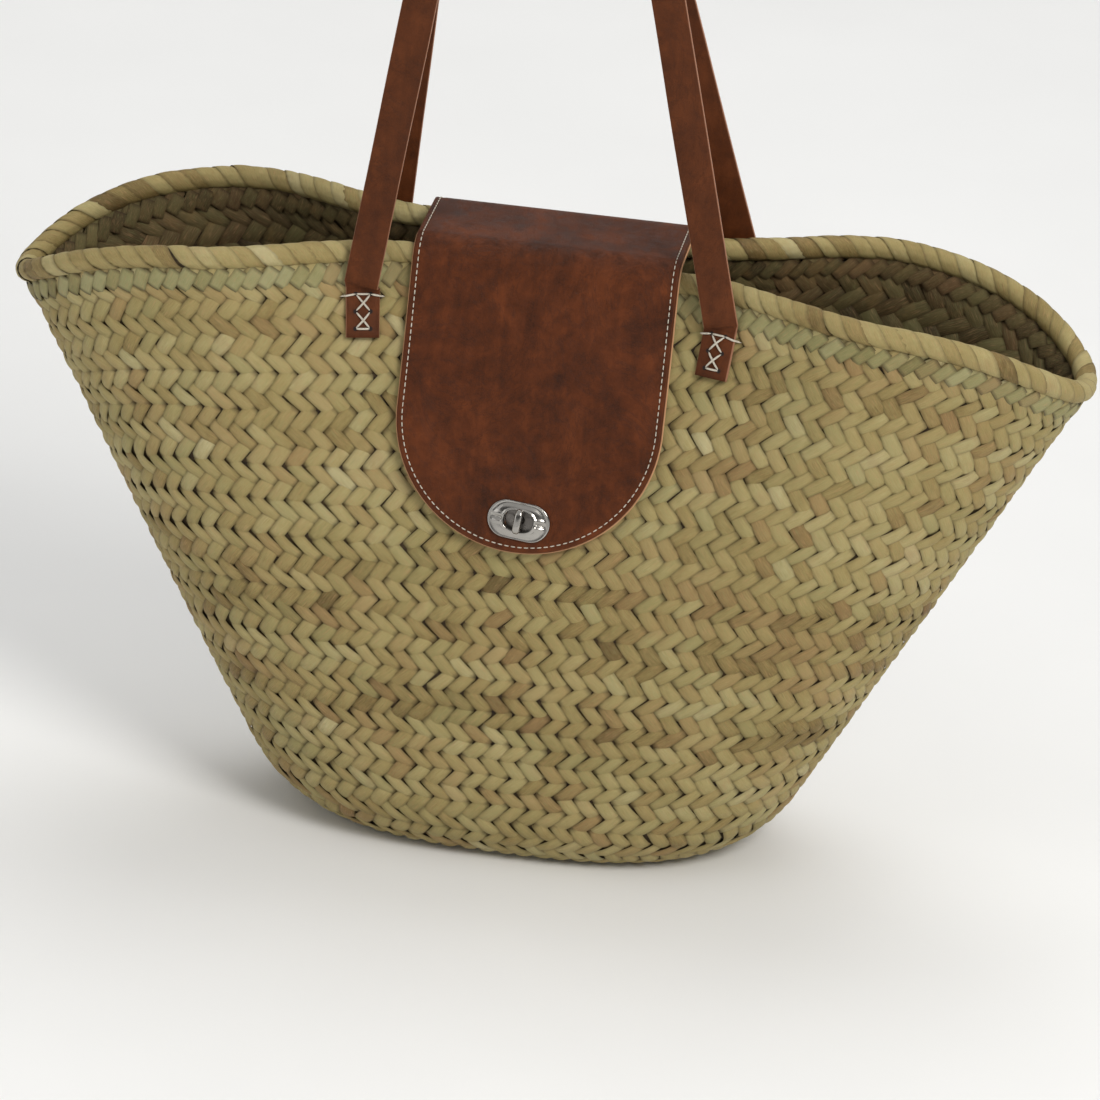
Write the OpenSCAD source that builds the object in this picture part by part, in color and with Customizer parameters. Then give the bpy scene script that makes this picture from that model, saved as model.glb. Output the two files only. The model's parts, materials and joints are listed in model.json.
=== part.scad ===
// Woven palm-leaf basket bag with a leather flap, a turn lock and two shoulder straps.
// Millimetres. X runs along the bag, -Y is the front, Z is up.
// The origin is the middle of the base, on the surface that the bag stands on.

/* [Basket] */
// Length over the rim
basket_len = 600; // [500:5:720]
// Height of the rim at the middle of the bag
basket_h = 350; // [300:5:420]
// How far the rim drops from the middle of the bag to its ends
rim_drop = 43; // [20:1:60]
// Length of the flat part of the base
base_len = 201; // [160:1:260]
// Depth of the flat part of the base
base_dep = 92; // [70:1:120]
// Radius of the rounded edge between the base and the wall
base_round = 39.5; // [30:0.5:50]
// Depth of the mouth at its two wide lobes, between the middles of the rim
lobe_dep = 129; // [110:1:150]
// Depth of the mouth at its narrow middle, between the middles of the rim
waist_dep = 57; // [50:1:80]
// How far each long wall bulges at half height
belly = 18; // [5:1:25]
// Thickness of the woven wall
wall_t = 5; // [4:0.5:6]

/* [Rim] */
// Diameter of the wrapped rim roll
rim_d = 12; // [10:0.5:14]
// Diameter of the rope inside the rim roll
rim_core_d = 6.8; // [5:0.2:8]
// Height of the plait sewn on below the rim roll
plait_h = 10; // [7:0.5:12]
// Thickness of that plait
plait_t = 1.8; // [1.2:0.1:2.4]

/* [Straps] */
// Width of each strap
strap_w = 18.5; // [15:0.5:24]
// Thickness of each strap
strap_t = 3; // [2:0.25:4]
// Distance between the two ends of one strap
strap_gap = 197; // [190:1:230]
// Height of each strap's arch above its ends
strap_rise = 300; // [200:5:340]
// Length of the sewn end of each strap
strap_end_len = 27; // [20:1:34]

/* [Flap] */
// Width of the flap
flap_w = 145; // [120:1:160]
// Length of the hanging panel, from the front fold to the tip
flap_len = 153; // [130:1:165]
// Length of the sewn panel behind the rear rim
anchor_len = 62; // [50:1:80]
// Thickness of the outer leather
leather_t = 2.2; // [1.6:0.1:2.8]
// Thickness of the lining
lining_t = 1.2; // [0.8:0.1:1.6]
// Distance from the flap's edge to its stitching
stitch_inset = 3; // [2:0.5:5]

/* [Turn lock] */
// Length of the lock's face plate
plate_l = 35; // [30:0.5:40]
// Width of the lock's face plate
plate_w = 21; // [18:0.5:24]
// Length of the oval hole that the knob passes through
eye_l = 16; // [15:0.5:20]
// Width of that hole
eye_w = 11.5; // [10:0.5:14]
// Length of the turning knob
knob_l = 13.8; // [12:0.1:14.5]
// Width of the turning knob
knob_w = 5; // [4:0.25:6]
// Diameter of the knob's spindle
spindle_d = 4; // [3:0.25:5]
// Slant of the lock on the flap, in degrees
lock_slant = 6; // [0:0.5:8]

/* [Hidden] */
$fn = 48;

// Colours
palm = [0.66, 0.61, 0.42];
palm_green = [0.58, 0.60, 0.43];
palm_rope = [0.55, 0.48, 0.32];
leather = [0.42, 0.20, 0.10];
leather_edge = [0.62, 0.42, 0.28];
thread = [0.86, 0.83, 0.76];
steel = [0.78, 0.78, 0.80];

// Clearances
touch = 0.1;        // between pieces of one body that lie on each other
free = 0.4;         // between pieces that move apart
running = 0.05;     // radial, spindle in its bore
facet_room = 0.9;   // how far the wall's flat facets may stand out from its true curve, near the straps

// ---- Woven body ----------------------------------------------------------
steps_round = 72;   // stations round the wall
steps_corner = 4;   // stations up the rounded base edge
steps_up = 9;       // stations up the wall
half_t = wall_t / 2;
rim_r = rim_d / 2;
core_r = rim_core_d / 2;
core_sides = 10;
roll_end_lean = 32;                                      // lean of the wall's ends, in degrees
top_mid = basket_h - rim_r - core_r;                     // top edge of the wall at the middle
half_len = basket_len / 2 - rim_r - core_r * sin(roll_end_lean);
flat_x = base_len / 2;
flat_y = base_dep / 2;
round_z = base_round - half_t;
round_share_x = 0.9;
round_share_y = 0.7;
round_x = base_round * round_share_x - half_t;
round_y = base_round * round_share_y - half_t;
corner_share = 0.157;   // share of the wall's slant height in the rounded base edge
lobe_from = 0.25;       // where the mouth starts to widen, as a share of its half length
lobe_to = 0.65;         // where the mouth is widest
end_power_low = 2.7;    // squareness of the plan at the base
end_power_top = 6;      // and at the rim

function smooth(low, high, x) = let(u = max(0, min(1, (x - low) / (high - low)))) u * u * (3 - 2 * u);
function turn_at(w) = 90 * min(1, w / corner_share);
function rise_at(w) = max(0, (w - corner_share) / (1 - corner_share));
drop_power = 6;
function top_at(s) = top_mid - rim_drop * pow(s, drop_power);
function height_at(s, w) =
    half_t + round_z * (1 - cos(turn_at(w))) + (top_at(s) - half_t - round_z) * rise_at(w);
function share_at(s, w) = (height_at(s, w) - half_t) / (top_at(s) - half_t);
function length_at(w) =
    flat_x + round_x * sin(turn_at(w)) + (half_len - flat_x - round_x) * share_at(1, w);
function mouth_at(s) = waist_dep / 2 + (lobe_dep - waist_dep) / 2 * smooth(lobe_from, lobe_to, s);
function depth_at(s, w) =
    let(v = share_at(0, w),
        round = flat_y + round_y * sin(turn_at(w)),
        low = round + (lobe_dep / 2 - flat_y - round_y) * v + belly * 4 * v * (1 - v),
        power = end_power_low + (end_power_top - end_power_low) * v)
    (low * (1 - pow(v, 3)) + mouth_at(s) * pow(v, 3)) * sqrt(max(0, 1 - pow(s, power)));
// A point of the wall's middle surface: t is the angle round the bag, w runs from the base to the rim
function wall_point(t, w) =
    let(s = min(1, abs(cos(t))))
    [length_at(w) * cos(t), sign(sin(t)) * depth_at(s, w), height_at(s, w)];
function unit(v) = v / norm(v);
function up_dir(t, w) = unit(wall_point(t, min(1, w + 0.004)) - wall_point(t, max(0, w - 0.004)));
function out_dir(t, w) =
    unit(cross(wall_point(t + 0.5, w) - wall_point(t - 0.5, w), up_dir(t, w)));
function wall_offset(t, w, d) = wall_point(t, w) + d * out_dir(t, w);
function base_offset(t, z) = let(p = wall_point(t, 0)) [p[0], p[1], z];
levels = [
    for (i = [1:steps_corner]) corner_share * i / steps_corner,
    for (i = [1:steps_up]) corner_share + (1 - corner_share) * i / steps_up
];
// A point beside the wall's top edge: d outwards from the wall's middle, h upwards along the wall
function rim_point(t, d, h) = wall_point(t, 1) + d * out_dir(t, 1) + h * up_dir(t, 1);
// Distance of the wall's outer face from the bag's middle plane, at a place x along the bag and z up it
face_share = 1.06;
function face_at(x, z) =
    let(q = (z - half_t - round_z) / (top_mid - half_t - round_z),
        w = corner_share + q * (1 - corner_share))
    depth_at(abs(x) / length_at(w), w) + half_t * face_share;

module closed_sweep(rings) {
    n = len(rings);
    m = len(rings[0]);
    polyhedron(
        points = [for (ring = rings) each ring],
        faces = [
            for (i = [0:n - 1], j = [0:m - 1])
                let(a = i * m + j, b = i * m + (j + 1) % m,
                    c = (i + 1) % n * m + (j + 1) % m, d = (i + 1) % n * m + j)
                each [[a, b, c], [a, c, d]]
        ]
    );
}

module open_sweep(rings) {
    n = len(rings);
    m = len(rings[0]);
    polyhedron(
        points = [for (ring = rings) each ring],
        faces = [
            [for (j = [0:m - 1]) j],
            [for (j = [m - 1:-1:0]) (n - 1) * m + j],
            for (i = [0:n - 2], j = [0:m - 1])
                let(a = i * m + j, b = i * m + (j + 1) % m,
                    c = (i + 1) * m + (j + 1) % m, d = (i + 1) * m + j)
                each [[a, c, b], [a, d, c]]
        ]
    );
}

// A point beside the wall's top facets: d away from the face (side 1 outside, -1 inside), h up along it
below_top = levels[len(levels) - 2];
function facet_point(t, side, d, h) =
    let(a = wall_offset(t, below_top, side * half_t), b = wall_offset(t, 1, side * half_t))
    b + (b - a) / norm(b - a) * h + side * d * out_dir(t, 1);

module rim_sweep(section) {
    closed_sweep([
        for (i = [0:steps_round - 1])
            [for (p = section) rim_point(360 * i / steps_round, p[0], p[1])]
    ]);
}

module basket_wall() {
    color(palm) difference() {
        closed_sweep([
            for (i = [0:steps_round - 1])
                let(t = 360 * i / steps_round)
                concat(
                    [base_offset(t, 0)],
                    [for (w = levels) wall_offset(t, w, half_t)],
                    [for (k = [len(levels) - 1:-1:0]) wall_offset(t, levels[k], -half_t)],
                    [base_offset(t, wall_t)]
                )
        ]);
        lock_frame() rivet_places() translate([0, 0, -rivet_reach - wall_t])
            cylinder(r = rivet_r + free, h = 3 * wall_t);
    }
}

module basket_base() {
    color(palm) linear_extrude(wall_t)
        polygon([for (i = [0:steps_round - 1]) let(p = wall_point(360 * i / steps_round, 0)) [p[0], p[1]]]);
}

module rim_core() {
    color(palm_rope) rim_sweep([
        for (k = [0:core_sides - 1])
            let(a = 360 * (k + 0.5) / core_sides)
            [core_r * cos(a), touch + core_r + core_r * sin(a)]
    ]);
}

// The leaf wrapped round the rope and down both faces of the wall
wrap_lip = 0.6;
wrap_leg = 4;       // how far the wrap reaches down the wall
wrap_in = max(core_r, half_t) + touch;
module rim_wrap() {
    centre = touch + core_r;
    color(palm) rim_sweep(concat(
        [[wrap_in, -wrap_leg], [rim_r - wrap_lip, -wrap_leg]],
        [for (a = [0:30:180]) [rim_r * cos(a), centre + rim_r * sin(a)]],
        [[-rim_r + wrap_lip, -wrap_leg], [-wrap_in, -wrap_leg]],
        [for (a = [180:-30:0]) [wrap_in * cos(a), centre + wrap_in * sin(a)]]
    ));
}

// The plaits sewn on outside and inside, just below the wrap
plait_top = -wrap_leg - free;
plait_gap = 0.6;    // between the plait and the wall's face
module plait_band(side) {
    low = plait_top - plait_h;
    bevel = 0.5;
    slope = 1.5;
    ring = [
        [0, low], [plait_t - bevel, low], [plait_t, low + slope],
        [plait_t, plait_top - slope], [plait_t - bevel, plait_top], [0, plait_top]
    ];
    order = side > 0 ? [0:len(ring) - 1] : [len(ring) - 1:-1:0];
    closed_sweep([
        for (i = [0:steps_round - 1])
            [for (k = order) facet_point(360 * i / steps_round, side, plait_gap + ring[k][0], ring[k][1])]
    ]);
}
module rim_plait() {
    color(palm_green) plait_band(1);
}
module inner_plait() {
    color(palm) plait_band(-1);
}

// ---- Straps ---------------------------------------------------------------
strap_x = strap_gap / 2;
strap_lean = 0.19;          // inward slope of each leg
strap_leg = 0.62;           // share of the rise in which the legs are straight
strap_top_y = 14;           // distance of each arch's top from the middle plane
front_sway = 0.054;         // sideways slope of the front strap, towards the left
rear_sway = 0.10;           // and of the rear strap
leg_steps = 4;
arch_steps = 12;
bend_gap = 4;               // room for the strap to fold over its sewn end
seam_lift = 2.5;            // how far the hinge line lies above the foot of the plait
seam_z = basket_h - rim_d - plait_h + seam_lift;   // hinge line, where each strap leaves its sewn end
near_x = strap_x - strap_w / 2;
far_x = strap_x + strap_w / 2;
strap_y = face_at(far_x, seam_z) + facet_room + plait_gap + plait_t + free + strap_t / 2;
// The sewn end lies flat against the wall: it leans with it and turns with it
end_top = seam_z - bend_gap;
end_foot = end_top - strap_end_len;
end_room = 0.5;
end_gap = facet_room + end_room;
end_face = (face_at(near_x, end_top) + face_at(far_x, end_top)) / 2;
end_lean = atan(((face_at(near_x, end_foot) + face_at(far_x, end_foot)) / 2 - end_face) / strap_end_len);
end_turn = atan((face_at(far_x, end_top) - face_at(near_x, end_top)) / strap_w);

// Half of the arch in its own plane: u goes from 0 at the sewn end to 1 at the top
leg_rise = strap_rise * strap_leg;
leg_top_x = strap_x - strap_lean * leg_rise;
arch_pull = 0.65 * (strap_rise - leg_rise);
arch_width = 0.58;
function bezier(a, b, c, d, u) =
    pow(1 - u, 3) * a + 3 * pow(1 - u, 2) * u * b + 3 * (1 - u) * u * u * c + pow(u, 3) * d;
function arch(u) =
    u < 0.5
    ? [-strap_x + strap_lean * leg_rise * u * 2, leg_rise * u * 2]
    : bezier(
        [-leg_top_x, leg_rise],
        [-leg_top_x + strap_lean * arch_pull, leg_rise + arch_pull],
        [-leg_top_x * arch_width, strap_rise], [0, strap_rise], u * 2 - 1);
function arch_dir(u) = unit(arch(min(1, u + 0.01)) - arch(max(0, u - 0.01)));
// The four corners of the strap's section at u, on the left half of the arch
function strap_ring(u, side, sway) =
    let(p = arch(u), d = arch_dir(u),
        twist = 90 * smooth(0.5, 1, u),
        face = [-sin(twist) * d[1], cos(twist) * side, sin(twist) * d[0]],
        across = u == 0 ? [-side, 0, 0] : cross([d[0], 0, d[1]], face))
    [for (c = [[1, 1], [-1, 1], [-1, -1], [1, -1]])
        [p[0], 0, p[1]] + across * c[0] * strap_w / 2 + face * c[1] * strap_t / 2];
function placed(q, side, sway) =
    let(y = strap_y + (strap_top_y - strap_y) * q[2] / strap_rise)
    [q[0] - sway * q[2], q[1] + side * y, seam_z + q[2]];
stations = concat(
    [for (k = [0:leg_steps - 1]) k * 0.5 / leg_steps],
    [for (k = [0:arch_steps - 1]) 0.5 + 0.5 * k / arch_steps]
);
module strap(side, sway) {
    left = [for (u = stations) strap_ring(u, side, sway)];
    right = [for (k = [len(left) - 1:-1:0]) [for (q = left[k]) [-q[0], q[1], q[2]]]];
    rings = concat(left, [strap_ring(1, side, sway)], right);
    open_sweep([for (ring = rings) [for (q = ring) placed(q, side, sway)]]);
}
module front_strap() {
    color(leather) strap(-1, front_sway);
}
module rear_strap() {
    color(leather) strap(1, rear_sway);
}

// The frame of a sewn end: local Z points out of its face, local Y up along it
module end_frame(x_side, y_side) {
    mirror([0, y_side > 0 ? 1 : 0, 0]) mirror([x_side < 0 ? 1 : 0, 0, 0])
        translate([strap_x, -end_face - end_gap, end_top])
            rotate([0, 0, -end_turn])
            rotate([90 - end_lean, 0, 0])
        children();
}
module strap_end(x_side, y_side) {
    color(leather) end_frame(x_side, y_side)
        translate([-strap_w / 2, -strap_end_len, 0]) cube([strap_w, strap_end_len, strap_t]);
}
// Two crosses of thread between six holes, closed by a bar above and below
thread_r = 0.6;
lace_x = strap_w * 0.22;
lace_rows = [-0.12, -0.47, -0.82];
module rod(from, to, r) {
    d = to - from;
    translate(from) rotate([0, acos(d[2] / norm(d)), atan2(d[1], d[0])]) cylinder(r = r, h = norm(d));
}
module lacing(x_side, y_side) {
    lift = strap_t + thread_r + touch;
    over = lift + 2 * thread_r + touch;     // the second thread of each cross lies on the first
    function hole(c, k, z) = [c * lace_x, lace_rows[k] * strap_end_len, z];
    function along(a, b, share) = a + (b - a) * share;
    module thread_run(a, b, gap) rod(along(a, b, gap), along(a, b, 1 - gap), thread_r);
    color(thread) end_frame(x_side, y_side) {
        for (k = [0, 1]) {
            thread_run(hole(-1, k, lift), hole(1, k + 1, lift), 0.12);
            thread_run(hole(1, k, over), hole(-1, k + 1, over), 0.12);
        }
        for (k = [0, 2]) thread_run(hole(-1, k, lift), hole(1, k, lift), 0.08);
    }
}

// ---- Flap -----------------------------------------------------------------
flap_t = leather_t + lining_t;
roll_y = waist_dep / 2;
roll_z = basket_h - rim_r;
fold_off_y = 5.2;                       // the fold's centre, inwards of the rim roll's
fold_off_z = 3;                         // and below it
fold_in = rim_r + norm([fold_off_y, fold_off_z]) + free;  // inner radius of each fold
fold_mid = fold_in + flap_t / 2;
fold_out = fold_in + flap_t;
fold_y = roll_y - fold_off_y;
fold_z = roll_z - fold_off_z;
hinge_cut = 45;                         // where each fold is divided, in degrees up from level
joint_gap = 0.25;                       // half of the slit at each division

patch_t = 1.2;
base_plate_t = 0.8;
wall_curve = 1.4;                       // how far the wall curves away under the lock
backing_t = 0.8;
lock_above_edge = 7;
lock_down = flap_len - plate_w / 2 - lock_above_edge; // from the front fold to the lock, along the panel
lean_guess = 17.5;                      // about the panel's lean, in degrees
lock_z_guess = fold_z - lock_down * cos(lean_guess);
under_lock = patch_t + base_plate_t + backing_t + 2 * free + wall_curve;   // room behind the flap
lock_reach = face_at(0, lock_z_guess) + under_lock + flap_t / 2 - fold_y;
lock_drop = fold_z - lock_z_guess;
front_lean = atan(lock_reach / lock_drop) - asin(fold_mid / norm([lock_reach, lock_drop]));

anchor_tuck = 6;
anchor_z = fold_z - anchor_len + anchor_tuck;
anchor_reach = face_at(0, anchor_z) + free + flap_t / 2 - fold_y;
anchor_drop = fold_z - anchor_z;
anchor_lean = atan(anchor_reach / anchor_drop) - asin(fold_mid / norm([anchor_reach, anchor_drop]));

slit = joint_gap / fold_out * 180 / PI;
fold_steps = 10;                        // facets in each part of a fold
// Points of an arc round the rear fold's centre, y outwards and z up, between two angles
function fold_arc(r, from, to) =
    [for (k = [0:fold_steps]) let(a = from + (to - from) * k / fold_steps)
        [fold_y + r * cos(a), fold_z + r * sin(a)]];
// Section of a layer that hangs from its fold and runs straight on
function hanging(lean, run, low, high) =
    concat(
        fold_arc(high, hinge_cut - slit, lean),
        [for (r = [high, low])
            [fold_y + r * cos(lean) + run * sin(lean), fold_z + r * sin(lean) - run * cos(lean)]],
        fold_arc(low, lean, hinge_cut - slit)
    );
// Section of a layer from the division of the rear fold over to that of the front fold
function bridging(low, high) =
    let(outer = fold_arc(high, hinge_cut + slit, 90), inner = fold_arc(low, hinge_cut + slit, 90))
    concat(
        outer, [for (k = [fold_steps:-1:0]) [-outer[k][0], outer[k][1]]],
        [for (p = inner) [-p[0], p[1]]], [for (k = [fold_steps:-1:0]) inner[k]]
    );
module across(width) {
    rotate([90, 0, 90]) linear_extrude(width, center = true) children();
}
module front_side() {
    mirror([0, 1, 0]) children();
}
module bridge_layer(low, high) {
    across(flap_w) polygon(bridging(low, high));
}
module panel_frame(lean) {
    translate([0, -fold_y, fold_z]) rotate([90 - lean, 0, 0]) children();
}
module anchor_layer(low, high) {
    across(flap_w) polygon(hanging(anchor_lean, anchor_len, low, high));
}
module stadium(l, w, h) {
    linear_extrude(h) {
        square([l - w, w], center = true);
        for (x = [-1, 1]) translate([x * (l - w) / 2, 0]) circle(r = w / 2);
    }
}
module front_layer(low, high) {
    straight = flap_len - flap_w / 2;
    difference() {
        intersection() {
            front_side() across(2 * flap_w) polygon(hanging(front_lean, flap_len + 1, low, high));
            panel_frame(front_lean) translate([0, 0, -fold_out]) linear_extrude(3 * fold_out) {
                translate([-flap_w / 2, -straight]) square([flap_w, 2 * straight]);
                translate([0, -straight]) circle(r = flap_w / 2, $fn = tip_facets);
            }
        }
        lock_frame()
            translate([0, 0, -fold_out])
            stadium(eye_l + 2 * touch, eye_w + 2 * touch, 2 * fold_out);
    }
}
split = fold_in + lining_t;             // radius at which the lining meets the leather
module flap_anchor() {
    color(leather) anchor_layer(split + touch / 2, fold_out);
}
module anchor_lining() {
    color(leather_edge) anchor_layer(fold_in, split);
}
module flap_bridge() {
    color(leather) bridge_layer(split + touch / 2, fold_out);
}
module bridge_lining() {
    color(leather_edge) bridge_layer(fold_in, split);
}
module flap_front() {
    color(leather) front_layer(split + touch / 2, fold_out);
}
module front_lining() {
    color(leather_edge) front_layer(fold_in, split);
}

// Thread: short rods that lie on the leather
stitch_len = 4;
stitch_pitch = 6.2;
stitch_r = 0.45;
stitch_lift = fold_out + stitch_r + touch;
stitch_x = flap_w / 2 - stitch_inset;
module stitch_line(from, to) {
    run = norm(to - from);
    n = floor(run / stitch_pitch);
    d = (to - from) / run;
    for (k = [0:n - 1]) {
        middle = from + d * (k + 0.5) * run / n;
        rod(middle - d * stitch_len / 2, middle + d * stitch_len / 2, stitch_r);
    }
}
module front_stitching() {
    straight = flap_len - flap_w / 2;
    turns = floor(PI * stitch_x / stitch_pitch);
    color(thread) panel_frame(front_lean) {
        for (x = [-stitch_x, stitch_x])
            stitch_line([x, -stitch_inset, stitch_lift], [x, -straight, stitch_lift]);
        for (k = [0:turns - 1]) translate([0, -straight, stitch_lift])
            rotate(180 + 180 * (k + 0.5) / turns) translate([stitch_x, 0, 0])
            rod([0, -stitch_len / 2, 0], [0, stitch_len / 2, 0], stitch_r);
    }
}
module bridge_stitching() {
    color(thread) for (x = [-stitch_x, stitch_x])
        stitch_line([x, fold_y, fold_z + stitch_lift], [x, -fold_y, fold_z + stitch_lift]);
}
anchor_rows = [anchor_len - stitch_inset, anchor_len - 5 * stitch_inset];
module anchor_stitching() {
    color(thread) front_side() panel_frame(anchor_lean) {
        for (x = [-stitch_x, stitch_x])
            stitch_line([x, -stitch_inset, stitch_lift], [x, -anchor_len + 2 * stitch_inset, stitch_lift]);
        for (row = anchor_rows)
            stitch_line(
                [-stitch_x + stitch_inset, -row, stitch_lift],
                [stitch_x - stitch_inset, -row, stitch_lift]);
    }
}

// ---- Turn lock ------------------------------------------------------------
// The lock's frame: its origin is on the panel's outer face, its Z axis is the knob's axis
module lock_frame() {
    panel_frame(front_lean) translate([0, -lock_down, fold_out]) rotate(-lock_slant) children();
}
plate_edge = 1.2;
plate_rise = 1.3;
rivet_at = 5.2;
rivet_r = 1.2;
rivet_head_r = 2.4;
rivet_head_t = 1;
slot_w = 0.7;
slot_t = 0.4;
base_plate_l = 26;
base_plate_w = 13;
patch_l = 44;
patch_w = 28;
patch_inset = 2.5;
patch_seam = patch_w / 2 - patch_inset;                       // the patch's stitching, from its middle line
patch_run = 9;                                        // half length of its straight stitching
patch_end = (patch_l - patch_w) / 2;
back_plate_t = 1;
rivet_tail = 2;                                       // how far the rivets reach past the inner room
base_plate_top = -flap_t - backing_t - free;          // outer face of the base plate
rivet_reach = -base_plate_top + base_plate_t + patch_t + wall_t + 3 * free;
knob_seat = plate_edge + plate_rise + free;           // the knob turns just above the face plate
knob_rise = 4.4;
crown_share = 0.62;
crown_r = knob_l * crown_share;                              // rounding of the knob along its length
collar_w = 0.6;
collar_t = 1.2;
retainer_t = 0.7;
washer_t = 0.3;
pocket_room = 1.6;
retainer_room = 0.5;
washer_room = 0.3;
plate_border = 3;
seam_arc = 60;
seam_step = 30;
tip_facets = 96;
pocket_r = spindle_d / 2 + pocket_room;   // hole in the leather patch behind the spindle

module rivet_places() {
    for (x = [-rivet_at, rivet_at]) translate([x, 0, 0]) children();
}
module lock_escutcheon() {
    color(steel) lock_frame() translate([0, 0, touch]) difference() {
        union() {
            stadium(plate_l, plate_w, plate_edge);
            stadium(plate_l - plate_border, plate_w - plate_border, plate_edge + plate_rise);
        }
        translate([0, 0, -1]) stadium(eye_l, eye_w, plate_edge + plate_rise + 2);
    }
}
module escutcheon_backing() {
    color(steel) lock_frame() translate([0, 0, -flap_t - touch - backing_t]) difference() {
        stadium(plate_l - 1, plate_w - 1, backing_t);
        translate([0, 0, -1]) stadium(eye_l + 1, eye_w + 1, backing_t + 2);
    }
}
module lock_base_plate() {
    color(steel) lock_frame() translate([0, 0, base_plate_top - base_plate_t]) difference() {
        stadium(base_plate_l, base_plate_w, base_plate_t);
        translate([0, 0, -1]) cylinder(r = spindle_d / 2 + running, h = base_plate_t + 2);
        rivet_places() translate([0, 0, -1]) cylinder(r = rivet_r + touch, h = base_plate_t + 2);
    }
}
module lock_patch() {
    color(leather)
    lock_frame()
    translate([0, 0, base_plate_top - base_plate_t - touch - patch_t])
    difference() {
        stadium(patch_l, patch_w, patch_t);
        translate([0, 0, -1]) cylinder(r = pocket_r, h = patch_t + 2);
        rivet_places() translate([0, 0, -1]) cylinder(r = rivet_r + touch, h = patch_t + 2);
    }
}
module patch_stitching() {
    z = base_plate_top - base_plate_t + stitch_r;
    color(thread) lock_frame() {
        for (y = [-patch_seam, patch_seam]) stitch_line([-patch_run, y, z], [patch_run, y, z]);
        for (x = [-1, 1], a = [-seam_arc:seam_step:seam_arc]) translate([x * patch_end, 0, z])
            rotate(x > 0 ? a : 180 + a) translate([patch_seam, 0, 0])
            rod([0, -stitch_len / 2, 0], [0, stitch_len / 2, 0], stitch_r);
    }
}
module lock_rivets() {
    color(steel) lock_frame() rivet_places() {
        difference() {
            translate([0, 0, base_plate_top + touch]) cylinder(r = rivet_head_r, h = rivet_head_t);
            translate([-slot_w / 2, -rivet_head_r, base_plate_top + touch + rivet_head_t - slot_t])
                cube([slot_w, 2 * rivet_head_r, rivet_head_t]);
        }
        translate([0, 0, -rivet_reach - rivet_tail])
            cylinder(r = rivet_r, h = rivet_reach + rivet_tail + base_plate_top + touch);
    }
}
module lock_back_plate() {
    color(steel) lock_frame() translate([0, 0, -rivet_reach - rivet_tail]) difference() {
        stadium(base_plate_l, base_plate_w, back_plate_t);
        rivet_places() translate([0, 0, -1]) cylinder(r = rivet_r + touch, h = 3);
    }
}
module turn_knob() {
    color(steel) lock_frame() {
        translate([0, 0, knob_seat]) intersection() {
            rotate(90) stadium(knob_l, knob_w, knob_rise);
            translate([0, 0, knob_rise - crown_r]) rotate([0, 90, 0])
                cylinder(r = crown_r, h = 2 * knob_w, center = true);
        }
        translate([0, 0, base_plate_top - base_plate_t - washer_t - retainer_t])
            cylinder(
                r = spindle_d / 2,
                h = knob_seat + 1 + base_plate_t + washer_t + retainer_t - base_plate_top);
        translate([0, 0, base_plate_top + free]) cylinder(r = spindle_d / 2 + collar_w, h = collar_t);
    }
}
module knob_retainer() {
    color(steel)
    lock_frame()
    translate([0, 0, base_plate_top - base_plate_t - 2 * touch - washer_t - retainer_t])
        difference() {
            cylinder(r = pocket_r - retainer_room, h = retainer_t);
            translate([0, 0, -1]) cylinder(r = spindle_d / 2 + touch / 10, h = retainer_t + 2);
        }
}
module spring_washer() {
    color(steel)
    lock_frame()
    translate([0, 0, base_plate_top - base_plate_t - touch - washer_t])
    difference() {
        cylinder(r = pocket_r - washer_room, h = washer_t);
        translate([0, 0, -1]) cylinder(r = spindle_d / 2 + running, h = washer_t + 2);
    }
}

basket_wall();
basket_base();
rim_core();
rim_wrap();
rim_plait();
inner_plait();
strap_end(-1, -1);  // front_left_strap_end
strap_end(1, -1);  // front_right_strap_end
strap_end(-1, 1);  // rear_left_strap_end
strap_end(1, 1);  // rear_right_strap_end
lacing(-1, -1);  // front_left_lacing
lacing(1, -1);  // front_right_lacing
lacing(-1, 1);  // rear_left_lacing
lacing(1, 1);  // rear_right_lacing
front_strap();
rear_strap();
flap_anchor();
anchor_lining();
anchor_stitching();
flap_bridge();
bridge_lining();
bridge_stitching();
flap_front();
front_lining();
front_stitching();
lock_escutcheon();
escutcheon_backing();
lock_patch();
patch_stitching();
lock_base_plate();
lock_rivets();
lock_back_plate();
turn_knob();
knob_retainer();
spring_washer();
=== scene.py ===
import math

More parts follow.
